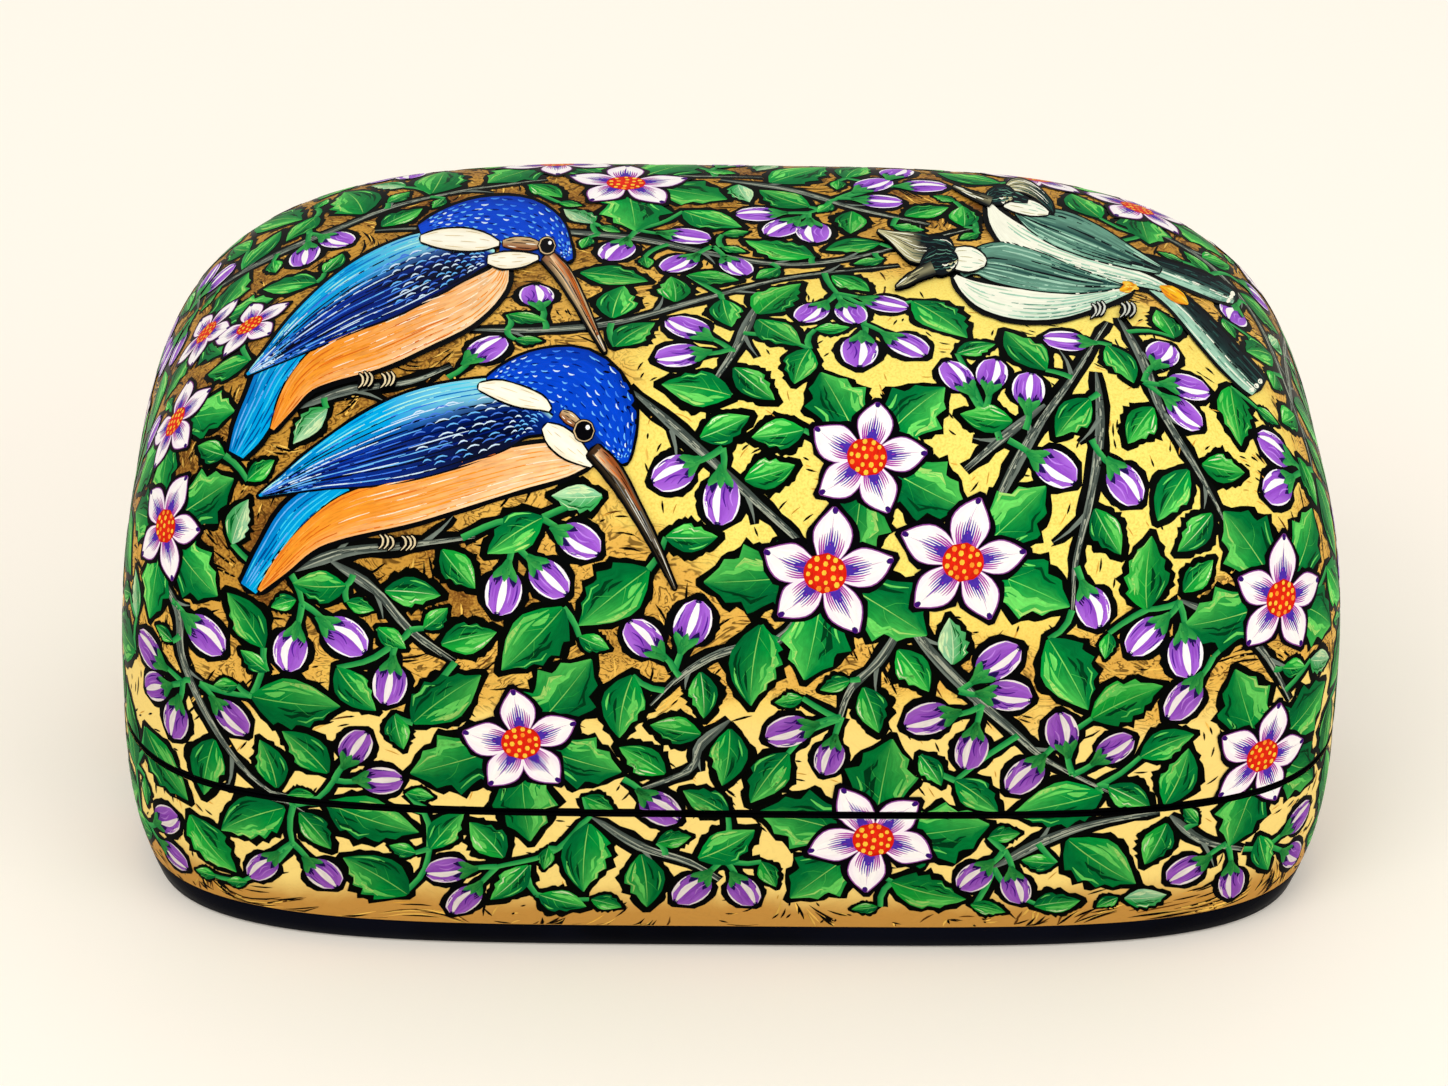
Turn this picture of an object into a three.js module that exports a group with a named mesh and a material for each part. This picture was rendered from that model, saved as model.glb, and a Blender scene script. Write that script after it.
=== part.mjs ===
// Papier-mache jewelry box: a pillow-shaped lid that lifts off a shallow tray.
// Units are millimetres. +X runs along the long side, the front faces -Y and +Z is up.
// The origin is on the surface that the box stands on, under the middle of the box.

import * as THREE from 'three';
import { mergeVertices } from 'three/addons/utils/BufferGeometryUtils.js';

// Driving dimensions: the outside form
const LENGTH = 203;
const DEPTH = 122;
const SEAM_HEIGHT = 28.4;
const LID_RISE = 71;
const PLAN_POWER = 4.35;
const CROWN_PLAN_POWER = 3.4;
const CROWN_BLEND_POWER = 3;
const SIDE_POWER = 2.9;
const CROWN_POWER = 4.95;
const FOOT_TUCK = 4.3;
const TUCK_POWER = 2.8;

// Driving dimensions: the papier-mache shells and the strips round their mouths
const LID_WALL = 3.2;
const TRAY_WALL = 3.2;
const TRAY_FLOOR = 3.2;
const RIM_STRIP = 0.65;

// Driving dimensions: the foot
const FOOT_BAND_HEIGHT = 5.2;
const FOOT_BAND_WIDTH = 4.5;
const FOOT_BAND_EDGE = 0.5;
const FELT_THICKNESS = 1.2;

// Driving dimensions: the collar and the linings
const COLLAR_THICKNESS = 1.8;
const COLLAR_STAND = 7;
const COLLAR_CHAMFER = 0.6;
const WALL_LINING_THICKNESS = 1;
const LID_LINING_THICKNESS = 1;
const FLOOR_CARD_THICKNESS = 1.2;
const PAD_EDGE_HEIGHT = 4;
const PAD_EDGE_ROUND = 1.4;
const PAD_CROWN = 3;

// Clearances
const SEAM_GAP = 0.3;
const LID_SLIDE_GAP = 0.4;
const GLUE_GAP = 0.3;
const LINING_DROP = 0.5;
const LID_LINING_RAISE = 1.5;
const PAD_SIDE_GAP = 1.2;

// How finely the forms are stepped
const QUARTER_STEPS = 15;
const PLAN_STEPS = 4 * QUARTER_STEPS;
const LOOK_STEPS = 2000;
const DOME_RINGS = 8;
const WALL_LEVELS = 4;
const PAD_CROWN_SHARES = [0.85, 0.62, 0.34];
const SLOPE_STEP = 0.001;

// Heights that follow from the sizes above
const halfLength = LENGTH / 2;
const halfDepth = DEPTH / 2;
const seamLow = SEAM_HEIGHT - SEAM_GAP / 2;
const seamHigh = SEAM_HEIGHT + SEAM_GAP / 2;
const trayTop = seamLow - RIM_STRIP;
const lidBottom = seamHigh + RIM_STRIP;
const trayFloorTop = FOOT_BAND_HEIGHT + TRAY_FLOOR;
const collarTop = SEAM_HEIGHT + COLLAR_STAND;
const cardTop = trayFloorTop + FLOOR_CARD_THICKNESS;
const padBottom = cardTop + GLUE_GAP;

// How far inside the outside form each inner layer lies
const lidLiningInset = LID_WALL + Math.max(GLUE_GAP, LID_SLIDE_GAP);
const collarInTray = TRAY_WALL + LID_SLIDE_GAP;
const collarInLid = LID_WALL + LID_SLIDE_GAP;
const collarInside = Math.max(collarInTray, collarInLid) + COLLAR_THICKNESS;
const wallLiningInset = collarInside + GLUE_GAP;
const wallLiningInside = wallLiningInset + WALL_LINING_THICKNESS;
const padInset = wallLiningInside + PAD_SIDE_GAP;
const bandInside = FOOT_TUCK + FOOT_BAND_WIDTH;

// Finishes
const PAINTED = { color: 0x4f8a3a, roughness: 0.18, metalness: 0.0 };
const BLACK_LACQUER = { color: 0x0c0e1c, roughness: 0.2, metalness: 0.0 };
const BARE_BOARD = { color: 0x9a8462, roughness: 0.9, metalness: 0.0 };
const VELVET = { color: 0x7a0f22, roughness: 0.95, metalness: 0.0 };
const FELT = { color: 0x14301f, roughness: 1.0, metalness: 0.0 };

// The plan's reach at a point: 1 on the outline, less inside it.
function planReach(x, y, power) {
  return (Math.abs(x) / halfLength) ** power + (Math.abs(y) / halfDepth) ** power;
}

// A point of the plan, a rounded rectangle with bowed sides, at an angle from +X.
function planPoint(angle, power = PLAN_POWER) {
  const direction = new THREE.Vector2(Math.cos(angle), Math.sin(angle));
  return direction.multiplyScalar(planReach(direction.x, direction.y, power) ** (-1 / power));
}

// The direction square to the plan at a point of its outline.
function planNormal(point, power = PLAN_POWER) {
  const x = Math.sign(point.x) * (Math.abs(point.x) / halfLength) ** (power - 1) / halfLength;
  const y = Math.sign(point.y) * (Math.abs(point.y) / halfDepth) ** (power - 1) / halfDepth;
  return new THREE.Vector2(x, y).normalize();
}

// Angles over one quarter of the plan, spaced half by length and half by turn, so corners get more.
function quarterAngles() {
  const walk = [{ angle: 0, length: 0, turn: 0 }];
  let lastPoint = planPoint(0);
  let lastNormal = planNormal(lastPoint);
  for (let i = 1; i <= LOOK_STEPS; i += 1) {
    const angle = (Math.PI / 2) * (i / LOOK_STEPS);
    const point = planPoint(angle);
    const normal = planNormal(point);
    const last = walk[i - 1];
    const bend = Math.acos(Math.min(1, normal.dot(lastNormal)));
    walk.push({ angle, length: last.length + point.distanceTo(lastPoint), turn: last.turn + bend });
    lastPoint = point;
    lastNormal = normal;
  }
  const end = walk[LOOK_STEPS];
  const share = (mark) => (mark.length / end.length + mark.turn / end.turn) / 2;
  const angles = [];
  for (let step = 0; step < QUARTER_STEPS; step += 1) {
    angles.push(walk.find((mark) => share(mark) >= step / QUARTER_STEPS).angle);
  }
  return [...angles, Math.PI / 2];
}

// Angles round the whole plan, the same in each quarter, counter-clockwise from +X.
function wholeAngles() {
  const quarter = quarterAngles();
  const onward = quarter.slice(1).reverse().map((angle) => Math.PI - angle);
  const half = [...quarter.slice(0, -1), ...onward];
  return [...half, ...half.map((angle) => angle + Math.PI)];
}

const planAngles = wholeAngles();

// How far the wall has drawn in from the seam's outline at a level below the seam.
function tuckAt(level) {
  const drop = Math.max(0, 1 - level / SEAM_HEIGHT);
  return FOOT_TUCK * drop ** TUCK_POWER;
}

// A level section drawn in from the seam's outline by one distance all round.
function insetSection(level, inset) {
  return (angle) => {
    const point = planPoint(angle);
    point.addScaledVector(planNormal(point), -inset);
    return new THREE.Vector3(point.x, point.y, level);
  };
}

// A level section that follows the wall's curve, a distance inside it.
function wallSection(level, inset) {
  return insetSection(level, tuckAt(level) + inset);
}

// A level section of the same shape as the seam's outline, drawn in and made smaller.
function shrunkSection(level, inset, share) {
  return (angle) => insetSection(level, inset)(angle).multiply(new THREE.Vector3(share, share, 1));
}

// The end of a profile, on the middle line of the box.
function axisSection(level) {
  return () => new THREE.Vector3(0, 0, level);
}

// The plan's power at a height on the lid: squarer at the seam, rounder at the crown.
function domePlanPower(share) {
  return PLAN_POWER + (CROWN_PLAN_POWER - PLAN_POWER) * share ** CROWN_BLEND_POWER;
}

// A value that is 1 on the lid's outside form, less inside it and more outside it.
function domeField(point) {
  const share = Math.max(0, point.z - SEAM_HEIGHT) / LID_RISE;
  const power = domePlanPower(share);
  return planReach(point.x, point.y, power) ** (CROWN_POWER / power) + share ** SIDE_POWER;
}

// The direction square to the lid's outside form at a point of it.
function domeNormal(point) {
  const slopes = ['x', 'y', 'z'].map((axis) => {
    const ahead = point.clone();
    const behind = point.clone();
    ahead[axis] += SLOPE_STEP;
    behind[axis] -= SLOPE_STEP;
    return domeField(ahead) - domeField(behind);
  });
  return new THREE.Vector3(...slopes).normalize();
}

// A section of the lid at a rise above the seam, moved inwards square to the outside form.
function domeSection(rise, inset) {
  const share = rise / LID_RISE;
  const power = domePlanPower(share);
  const scale = (1 - share ** SIDE_POWER) ** (1 / CROWN_POWER);
  return (angle) => {
    const plan = planPoint(angle, power).multiplyScalar(scale);
    const point = new THREE.Vector3(plan.x, plan.y, SEAM_HEIGHT + rise);
    return point.addScaledVector(domeNormal(point), -inset);
  };
}

// A section of the lid's mouth, at one level all round.
function mouthSection(level, inset) {
  const slanted = domeSection(level - SEAM_HEIGHT, inset);
  return (angle) => slanted(angle).setZ(level);
}

// The rises of the lid's rings, closer together where the form turns.
function domeRises() {
  const rises = [];
  for (let ring = 1; ring < DOME_RINGS; ring += 1) {
    const turn = (Math.PI / 2) * (ring / DOME_RINGS);
    rises.push(LID_RISE * Math.sin(turn) ** (2 / SIDE_POWER));
  }
  return rises;
}

// Evenly spaced levels from one height to another, both ends included.
function levelsBetween(low, high, count) {
  return Array.from({ length: count }, (_, i) => low + ((high - low) * i) / (count - 1));
}

// A closed body: a profile turned about the middle line, each turn drawn out to its section.
function drawnBody(sections) {
  const profile = sections.map((section) => section(0)).map((point) => new THREE.Vector2(point.x, point.z));
  const body = new THREE.LatheGeometry(profile, PLAN_STEPS);
  const places = body.attributes.position;
  for (let step = 0; step <= PLAN_STEPS; step += 1) {
    const angle = planAngles[step % PLAN_STEPS];
    sections.forEach((section, row) => {
      const point = section(angle);
      places.setXYZ(step * sections.length + row, point.x, point.y, point.z);
    });
  }
  body.deleteAttribute('normal');
  body.deleteAttribute('uv');
  const closed = mergeVertices(body);
  closed.computeVertexNormals();
  return closed;
}

// A ring between an outer and an inner wall, each a list of sections from low to high.
function ringBody(outer, inner) {
  return drawnBody([...outer, ...[...inner].reverse(), outer[0]]);
}

// A flat slab with an upright edge.
function slabBody(low, high, inset) {
  return drawnBody([axisSection(low), insetSection(low, inset), insetSection(high, inset), axisSection(high)]);
}

// A dome with an open mouth, between two distances inside the lid's outside form.
function domeBody(mouthLevel, outerInset, innerInset) {
  const crown = SEAM_HEIGHT + LID_RISE;
  const rises = domeRises().filter((rise) => rise > mouthLevel - SEAM_HEIGHT);
  const inner = [...rises].reverse().map((rise) => domeSection(rise, innerInset));
  const outer = rises.map((rise) => domeSection(rise, outerInset));
  const mouth = [mouthSection(mouthLevel, innerInset), mouthSection(mouthLevel, outerInset)];
  return drawnBody([axisSection(crown - innerInset), ...inner, ...mouth, ...outer, axisSection(crown - outerInset)]);
}

function trayBody() {
  const outer = levelsBetween(FOOT_BAND_HEIGHT, trayTop, WALL_LEVELS).map((level) => wallSection(level, 0));
  const levels = levelsBetween(trayFloorTop, trayTop, WALL_LEVELS).reverse();
  const inner = levels.map((level) => wallSection(level, TRAY_WALL));
  return drawnBody([axisSection(FOOT_BAND_HEIGHT), ...outer, ...inner, axisSection(trayFloorTop)]);
}

function rimBody(low, inside) {
  const levels = [low, low + RIM_STRIP];
  return ringBody(levels.map((level) => wallSection(level, 0)), levels.map((level) => wallSection(level, inside)));
}

// The collar is glued to the tray's wall up to the seam, and slips inside the lid's wall above it.
function collarBody() {
  const glued = levelsBetween(trayFloorTop, seamLow, WALL_LEVELS);
  const free = [seamHigh, collarTop - COLLAR_CHAMFER];
  const outer = [
    ...glued.map((level) => wallSection(level, collarInTray)),
    ...free.map((level) => wallSection(level, collarInLid)),
    wallSection(collarTop, collarInLid + COLLAR_CHAMFER),
  ];
  return ringBody(outer, [...glued, collarTop].map((level) => wallSection(level, collarInside)));
}

function wallLiningBody() {
  const levels = [...levelsBetween(padBottom, SEAM_HEIGHT, WALL_LEVELS), collarTop - LINING_DROP];
  const outer = levels.map((level) => wallSection(level, wallLiningInset));
  return ringBody(outer, levels.map((level) => wallSection(level, wallLiningInside)));
}

function floorCardBody() {
  return slabBody(trayFloorTop, cardTop, tuckAt(trayFloorTop) + wallLiningInset);
}

function floorPadBody() {
  const inset = tuckAt(padBottom) + padInset;
  const middle = padBottom + PAD_EDGE_HEIGHT / 2;
  const edgeTop = padBottom + PAD_EDGE_HEIGHT;
  const crown = PAD_CROWN_SHARES.map((share) => {
    const swell = PAD_CROWN * (1 - share ** 2);
    return shrunkSection(edgeTop + swell, inset + PAD_EDGE_ROUND, share);
  });
  return drawnBody([
    axisSection(padBottom),
    insetSection(padBottom, inset + PAD_EDGE_ROUND),
    insetSection(middle, inset),
    insetSection(edgeTop, inset + PAD_EDGE_ROUND),
    ...crown,
    axisSection(edgeTop + PAD_CROWN),
  ]);
}

function footBandBody() {
  const outer = [
    insetSection(0, FOOT_TUCK + FOOT_BAND_EDGE),
    wallSection(FOOT_BAND_EDGE, 0),
    wallSection(FOOT_BAND_HEIGHT, 0),
  ];
  return ringBody(outer, [insetSection(0, bandInside), insetSection(FOOT_BAND_HEIGHT, bandInside)]);
}

// One named piece with its finish.
function piece(name, geometry, finish) {
  const mesh = new THREE.Mesh(geometry, new THREE.MeshStandardMaterial(finish));
  mesh.name = name;
  return mesh;
}

const tray = new THREE.Group();
tray.add(piece('base_shell', trayBody(), PAINTED));
tray.add(piece('base_rim', rimBody(trayTop, TRAY_WALL), BLACK_LACQUER));
tray.add(piece('base_collar', collarBody(), BLACK_LACQUER));
tray.add(piece('foot_band', footBandBody(), BLACK_LACQUER));
tray.add(piece('base_board', slabBody(FELT_THICKNESS, FOOT_BAND_HEIGHT, bandInside + GLUE_GAP), BARE_BOARD));
tray.add(piece('base_felt', slabBody(0, FELT_THICKNESS, bandInside + GLUE_GAP), FELT));
tray.add(piece('wall_lining', wallLiningBody(), VELVET));
tray.add(piece('floor_card', floorCardBody(), BARE_BOARD));
tray.add(piece('floor_pad', floorPadBody(), VELVET));

const lid = new THREE.Group();
lid.add(piece('lid_shell', domeBody(lidBottom, 0, LID_WALL), PAINTED));
lid.add(piece('lid_rim', rimBody(lidBottom - RIM_STRIP, LID_WALL), BLACK_LACQUER));
lid.add(piece('lid_lining', domeBody(
  collarTop + LID_LINING_RAISE,
  lidLiningInset,
  lidLiningInset + LID_LINING_THICKNESS,
), VELVET));

const box = new THREE.Group();
box.add(tray, lid);

export default box;
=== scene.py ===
"""The looks of a lacquered papier-mache jewelry box with a flower-and-bird painted lid."""

import logging
import math
from collections.abc import Callable, Sequence
from dataclasses import dataclass, field
from enum import Enum
from typing import Any

import bpy
import numpy as np
from mathutils import Matrix, Vector


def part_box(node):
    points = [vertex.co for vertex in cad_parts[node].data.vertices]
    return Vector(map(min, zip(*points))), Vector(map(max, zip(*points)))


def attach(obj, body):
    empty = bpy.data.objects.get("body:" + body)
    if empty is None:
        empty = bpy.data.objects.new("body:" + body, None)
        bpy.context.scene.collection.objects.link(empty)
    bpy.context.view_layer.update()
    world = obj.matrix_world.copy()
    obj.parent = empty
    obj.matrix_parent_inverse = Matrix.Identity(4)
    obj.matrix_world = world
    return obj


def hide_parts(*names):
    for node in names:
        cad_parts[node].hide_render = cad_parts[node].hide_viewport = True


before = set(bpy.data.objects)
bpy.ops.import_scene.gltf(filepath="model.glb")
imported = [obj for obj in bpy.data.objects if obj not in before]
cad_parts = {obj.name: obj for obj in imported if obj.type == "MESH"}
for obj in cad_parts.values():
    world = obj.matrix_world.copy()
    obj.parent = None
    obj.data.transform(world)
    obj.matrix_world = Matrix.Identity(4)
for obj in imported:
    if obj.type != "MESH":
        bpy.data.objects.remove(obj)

log = logging.getLogger("jewelry_box")

MM = 0.001
TINY = 1e-12
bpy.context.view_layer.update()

Colour = tuple[float, float, float]
Array = np.ndarray


def srgb(red: float, green: float, blue: float) -> Colour:
    """Turns a colour of 0 to 255 per channel into the linear values that shaders use."""
    shares = (value / 255.0 for value in (red, green, blue))
    return tuple(s / 12.92 if s <= 0.04045 else ((s + 0.055) / 1.055) ** 2.4 for s in shares)


def blend(low: Array | Colour, high: Array | Colour, share: Array | float) -> Array:
    """Blends two colours for each point, by shares from 0 to 1."""
    share = np.clip(np.asarray(share, float), 0.0, 1.0)[..., None]
    return np.asarray(low) * (1.0 - share) + np.asarray(high) * share


def unit(vectors: Array) -> Array:
    """Scales each vector to a length of 1."""
    return vectors / np.maximum(np.linalg.norm(vectors, axis=-1, keepdims=True), TINY)


def arch(share: Array, start: float = 0.0, reach: float = 1.0) -> Array:
    """Rises and falls once as the share goes from 0 to 1, or over a part of that."""
    return np.sin(np.pi * (start + reach * share))


def compass(angle: float) -> Array:
    """Gives the flat direction at an angle."""
    return np.array([math.cos(angle), math.sin(angle)])


def swing(way: Array, side: Array, angle: Array | float) -> Array:
    """Turns a direction towards another one by an angle."""
    return way * np.cos(angle) + side * np.sin(angle)


@dataclass(frozen=True)
class BoxForm:
    """The outer form of the closed box, on which every painted shape lies.

    The plan is a superellipse. The lid is a pillow whose plan turns rounder towards the crown, and
    the tray tucks in towards its foot.
    """

    half_length: float
    half_depth: float
    seam: float
    rise: float
    tuck: float = 4.3 * MM
    plan_power: float = 4.35
    crown_plan_power: float = 3.4
    crown_blend_power: float = 3.0
    side_power: float = 2.9
    crown_power: float = 4.95
    tuck_power: float = 2.8
    longest_step: float = 4.0 * MM

    @classmethod
    def from_frame(cls) -> "BoxForm":
        """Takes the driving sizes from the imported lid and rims."""
        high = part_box("lid_shell")[1]
        seam = (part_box("base_rim")[1][2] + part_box("lid_rim")[0][2]) / 2
        return cls(high[0], high[1], seam, high[2] - seam)

    @property
    def reach(self) -> Array:
        """The box's half length, half depth and height."""
        return np.array([self.half_length, self.half_depth, self.seam + self.rise])

    def outline(self, angles: Array) -> Array:
        """Gives the plan's points in the given directions from the middle."""
        cos, sin, power = np.cos(angles), np.sin(angles), self.plan_power
        reach = np.abs(cos / self.half_length) ** power + np.abs(sin / self.half_depth) ** power
        radius = reach ** (-1.0 / power)
        return np.stack([radius * cos, radius * sin], axis=-1)

    def plan_normal(self, plan: Array) -> Array:
        """Gives the outward direction at points of the plan's outline."""
        half = self.reach[:2]
        return unit(np.sign(plan) * np.abs(plan / half) ** (self.plan_power - 1) / half)

    def inset_plan(self, angles: Array, inset: Array | float) -> Array:
        """Gives the plan's points in the given directions, moved inwards by an inset."""
        plan = self.outline(angles)
        return plan - self.plan_normal(plan) * np.asarray(inset)[..., None]

    def tuck_at(self, heights: Array | float) -> Array:
        """Says how far the tray's wall stands in from the plan at each height."""
        share = np.clip(1.0 - np.asarray(heights, float) / self.seam, 0.0, 1.0)
        return self.tuck * share**self.tuck_power

    def wall(self, angles: Array, heights: Array) -> Array:
        """Gives points of the tray's wall in the given directions, at the given heights."""
        plan = self.inset_plan(angles, self.tuck_at(heights))
        return np.concatenate([plan, np.asarray(heights)[..., None]], axis=-1)

    def dome(self, points: Array) -> tuple[Array, Array]:
        """Measures the pillow.

        Args:
            points: Any points.

        Returns:
            The field, which is 1 on the face, less inside and more outside, and its gradient.
        """
        x = points[..., 0] / self.half_length
        y = points[..., 1] / self.half_depth
        up = np.clip((points[..., 2] - self.seam) / self.rise, 0.0, None)
        turn = np.minimum(up, 1.0)
        change = self.crown_plan_power - self.plan_power
        power = self.plan_power + change * turn**self.crown_blend_power
        far_x, far_y = np.abs(x) + 1e-9, np.abs(y) + 1e-9
        part_x, part_y = far_x**power, far_y**power
        across = part_x + part_y
        bend = self.crown_power / power
        body = across**bend
        share = bend * body / across
        by_power = share * (part_x * np.log(far_x) + part_y * np.log(far_y))
        by_power = by_power - body * bend / power * np.log(across)
        lean = change * self.crown_blend_power * turn ** (self.crown_blend_power - 1) / self.rise
        slope = np.stack([share * power * part_x / far_x * np.sign(x) / self.half_length,
                          share * power * part_y / far_y * np.sign(y) / self.half_depth,
                          by_power * lean * (up < 1.0)
                          + self.side_power * up ** (self.side_power - 1) / self.rise], axis=-1)
        return body + up**self.side_power, slope

    def settle(self, points: Array, rounds: int = 5) -> tuple[Array, Array]:
        """Moves points that lie near the box onto its outer face.

        Args:
            points: Points near the face.
            rounds: How many corrections are made on the lid.

        Returns:
            The points on the face, and the outward directions there.
        """
        placed = np.array(points, float)
        facing = np.zeros_like(placed)
        upper = placed[..., 2] >= self.seam
        dome = placed[upper]
        for _ in range(rounds):
            level, slope = self.dome(dome)
            push = slope * ((1.0 - level) / np.maximum((slope**2).sum(-1), TINY))[..., None]
            length = np.linalg.norm(push, axis=-1, keepdims=True)
            dome = dome + push * np.minimum(1.0, self.longest_step / np.maximum(length, TINY))
            dome[..., 2] = np.maximum(dome[..., 2], self.seam)
        placed[upper] = dome
        facing[upper] = unit(self.dome(dome)[1])
        low = placed[~upper]
        angles = np.arctan2(low[..., 1], low[..., 0])
        placed[~upper] = self.wall(angles, low[..., 2])
        share = np.clip(1.0 - low[..., 2] / self.seam, 0.0, 1.0)
        lean = self.tuck * self.tuck_power / self.seam * share ** (self.tuck_power - 1)
        plan = self.plan_normal(self.outline(angles))
        facing[~upper] = unit(np.concatenate([plan, -lean[..., None]], axis=-1))
        return placed, facing

    def inside(self, points: Array) -> Array:
        """Says which points lie inside the closed box."""
        wall = self.wall(np.arctan2(points[..., 1], points[..., 0]), points[..., 2])
        within = np.hypot(points[..., 0], points[..., 1]) < np.hypot(wall[..., 0], wall[..., 1])
        upper = points[..., 2] >= self.seam
        return np.where(upper, self.dome(points)[0] < 1.0, within & (points[..., 2] > 0))


@dataclass(frozen=True)
class PhotoView:
    """The photograph's viewpoint, found from the box's outline, seam and foot lines."""

    form: BoxForm
    elevation: float = math.radians(29.06)
    azimuth: float = math.radians(-1.63)
    roll: float = math.radians(1.32)
    distance: float = 874 * MM
    aim_right: float = -1.0 * MM
    aim_up: float = 13.9 * MM
    sensor: float = 36.0
    lens: float = 126.8
    frame_width: float = 1448.0
    frame_height: float = 1086.0
    search: float = 150 * MM

    def axes(self) -> tuple[Array, Array, Array, Array]:
        """Gives the camera's right, up and backward directions and its place."""
        e, a = self.elevation, self.azimuth
        back = np.array([math.sin(a) * math.cos(e), -math.cos(a) * math.cos(e), math.sin(e)])
        level = np.array([math.cos(a), math.sin(a), 0.0])
        rise = np.cross(back, level)
        right = level * math.cos(self.roll) + rise * math.sin(self.roll)
        up = rise * math.cos(self.roll) - level * math.sin(self.roll)
        aim = np.array([0.0, 0.0, self.form.seam]) + level * self.aim_right + rise * self.aim_up
        return right, up, back, aim + back * self.distance

    def land(self, pixels: Array) -> Array:
        """Finds what the camera sees of the box at pixels of the photograph.

        Args:
            pixels: Pixel coordinates, x to the right and y downwards.

        Returns:
            The points of the box's outer face.
        """
        right, up, back, eye = self.axes()
        focal = self.lens / self.sensor * self.frame_width
        pixels = np.asarray(pixels, float)
        ray = right * (pixels[..., :1] - self.frame_width / 2)
        ray = unit(ray + up * (self.frame_height / 2 - pixels[..., 1:]) - back * focal)
        reach = np.linspace(-self.search, self.search, 301) + self.distance
        along = eye + ray[..., None, :] * reach[:, None]
        hits = self.form.inside(along)
        first = np.argmax(hits, axis=-1)
        missed = ~hits.any(axis=-1)
        if missed.any():
            closest = np.argmin(self.form.dome(along)[0], axis=-1)
            first = np.where(missed, np.clip(closest, 1, None), first)
        near, far = reach[first - 1], reach[first]
        for _ in range(16):
            middle = (near + far) / 2
            struck = self.form.inside(eye + ray * middle[..., None])
            far = np.where(struck, middle, far)
            near = np.where(struck, near, middle)
        return eye + ray * far[..., None]

    def place_camera(self) -> None:
        """Adds the camera at the photograph's viewpoint."""
        right, up, back, eye = self.axes()
        data = bpy.data.cameras.new("camera")
        data.sensor_width = self.sensor
        data.lens = self.lens
        data.clip_start = 10 * MM
        data.clip_end = 50.0
        camera = bpy.data.objects.new("camera", data)
        turn = Matrix((Vector(right), Vector(up), Vector(back))).transposed().to_4x4()
        camera.matrix_world = Matrix.Translation(Vector(eye)) @ turn
        bpy.context.scene.collection.objects.link(camera)
        bpy.context.scene.camera = camera


class Wire:
    """A shader value on which Python's arithmetic adds Math nodes."""

    def __init__(self, graph: "Graph", socket: bpy.types.NodeSocket) -> None:
        """Keeps the node tree and the socket that holds the value."""
        self.graph = graph
        self.socket = socket

    def __add__(self, other: Any) -> "Wire":
        """Adds a value."""
        return self.graph.math("ADD", self, other)

    def __radd__(self, other: Any) -> "Wire":
        """Adds to a value."""
        return self.graph.math("ADD", other, self)

    def __sub__(self, other: Any) -> "Wire":
        """Subtracts a value."""
        return self.graph.math("SUBTRACT", self, other)

    def __rsub__(self, other: Any) -> "Wire":
        """Subtracts from a value."""
        return self.graph.math("SUBTRACT", other, self)

    def __mul__(self, other: Any) -> "Wire":
        """Multiplies by a value."""
        return self.graph.math("MULTIPLY", self, other)

    def __rmul__(self, other: Any) -> "Wire":
        """Multiplies a value."""
        return self.graph.math("MULTIPLY", other, self)

    def __abs__(self) -> "Wire":
        """Takes the size without its sign."""
        return self.graph.math("ABSOLUTE", self)

    def step(self, low: float, high: float) -> "Wire":
        """Rises smoothly from 0 at the low value to 1 at the high one."""
        ends = {"Value": self, "From Min": low, "From Max": high}
        return self.graph.add("ShaderNodeMapRange", {"interpolation_type": "SMOOTHSTEP"}, ends)


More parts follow.
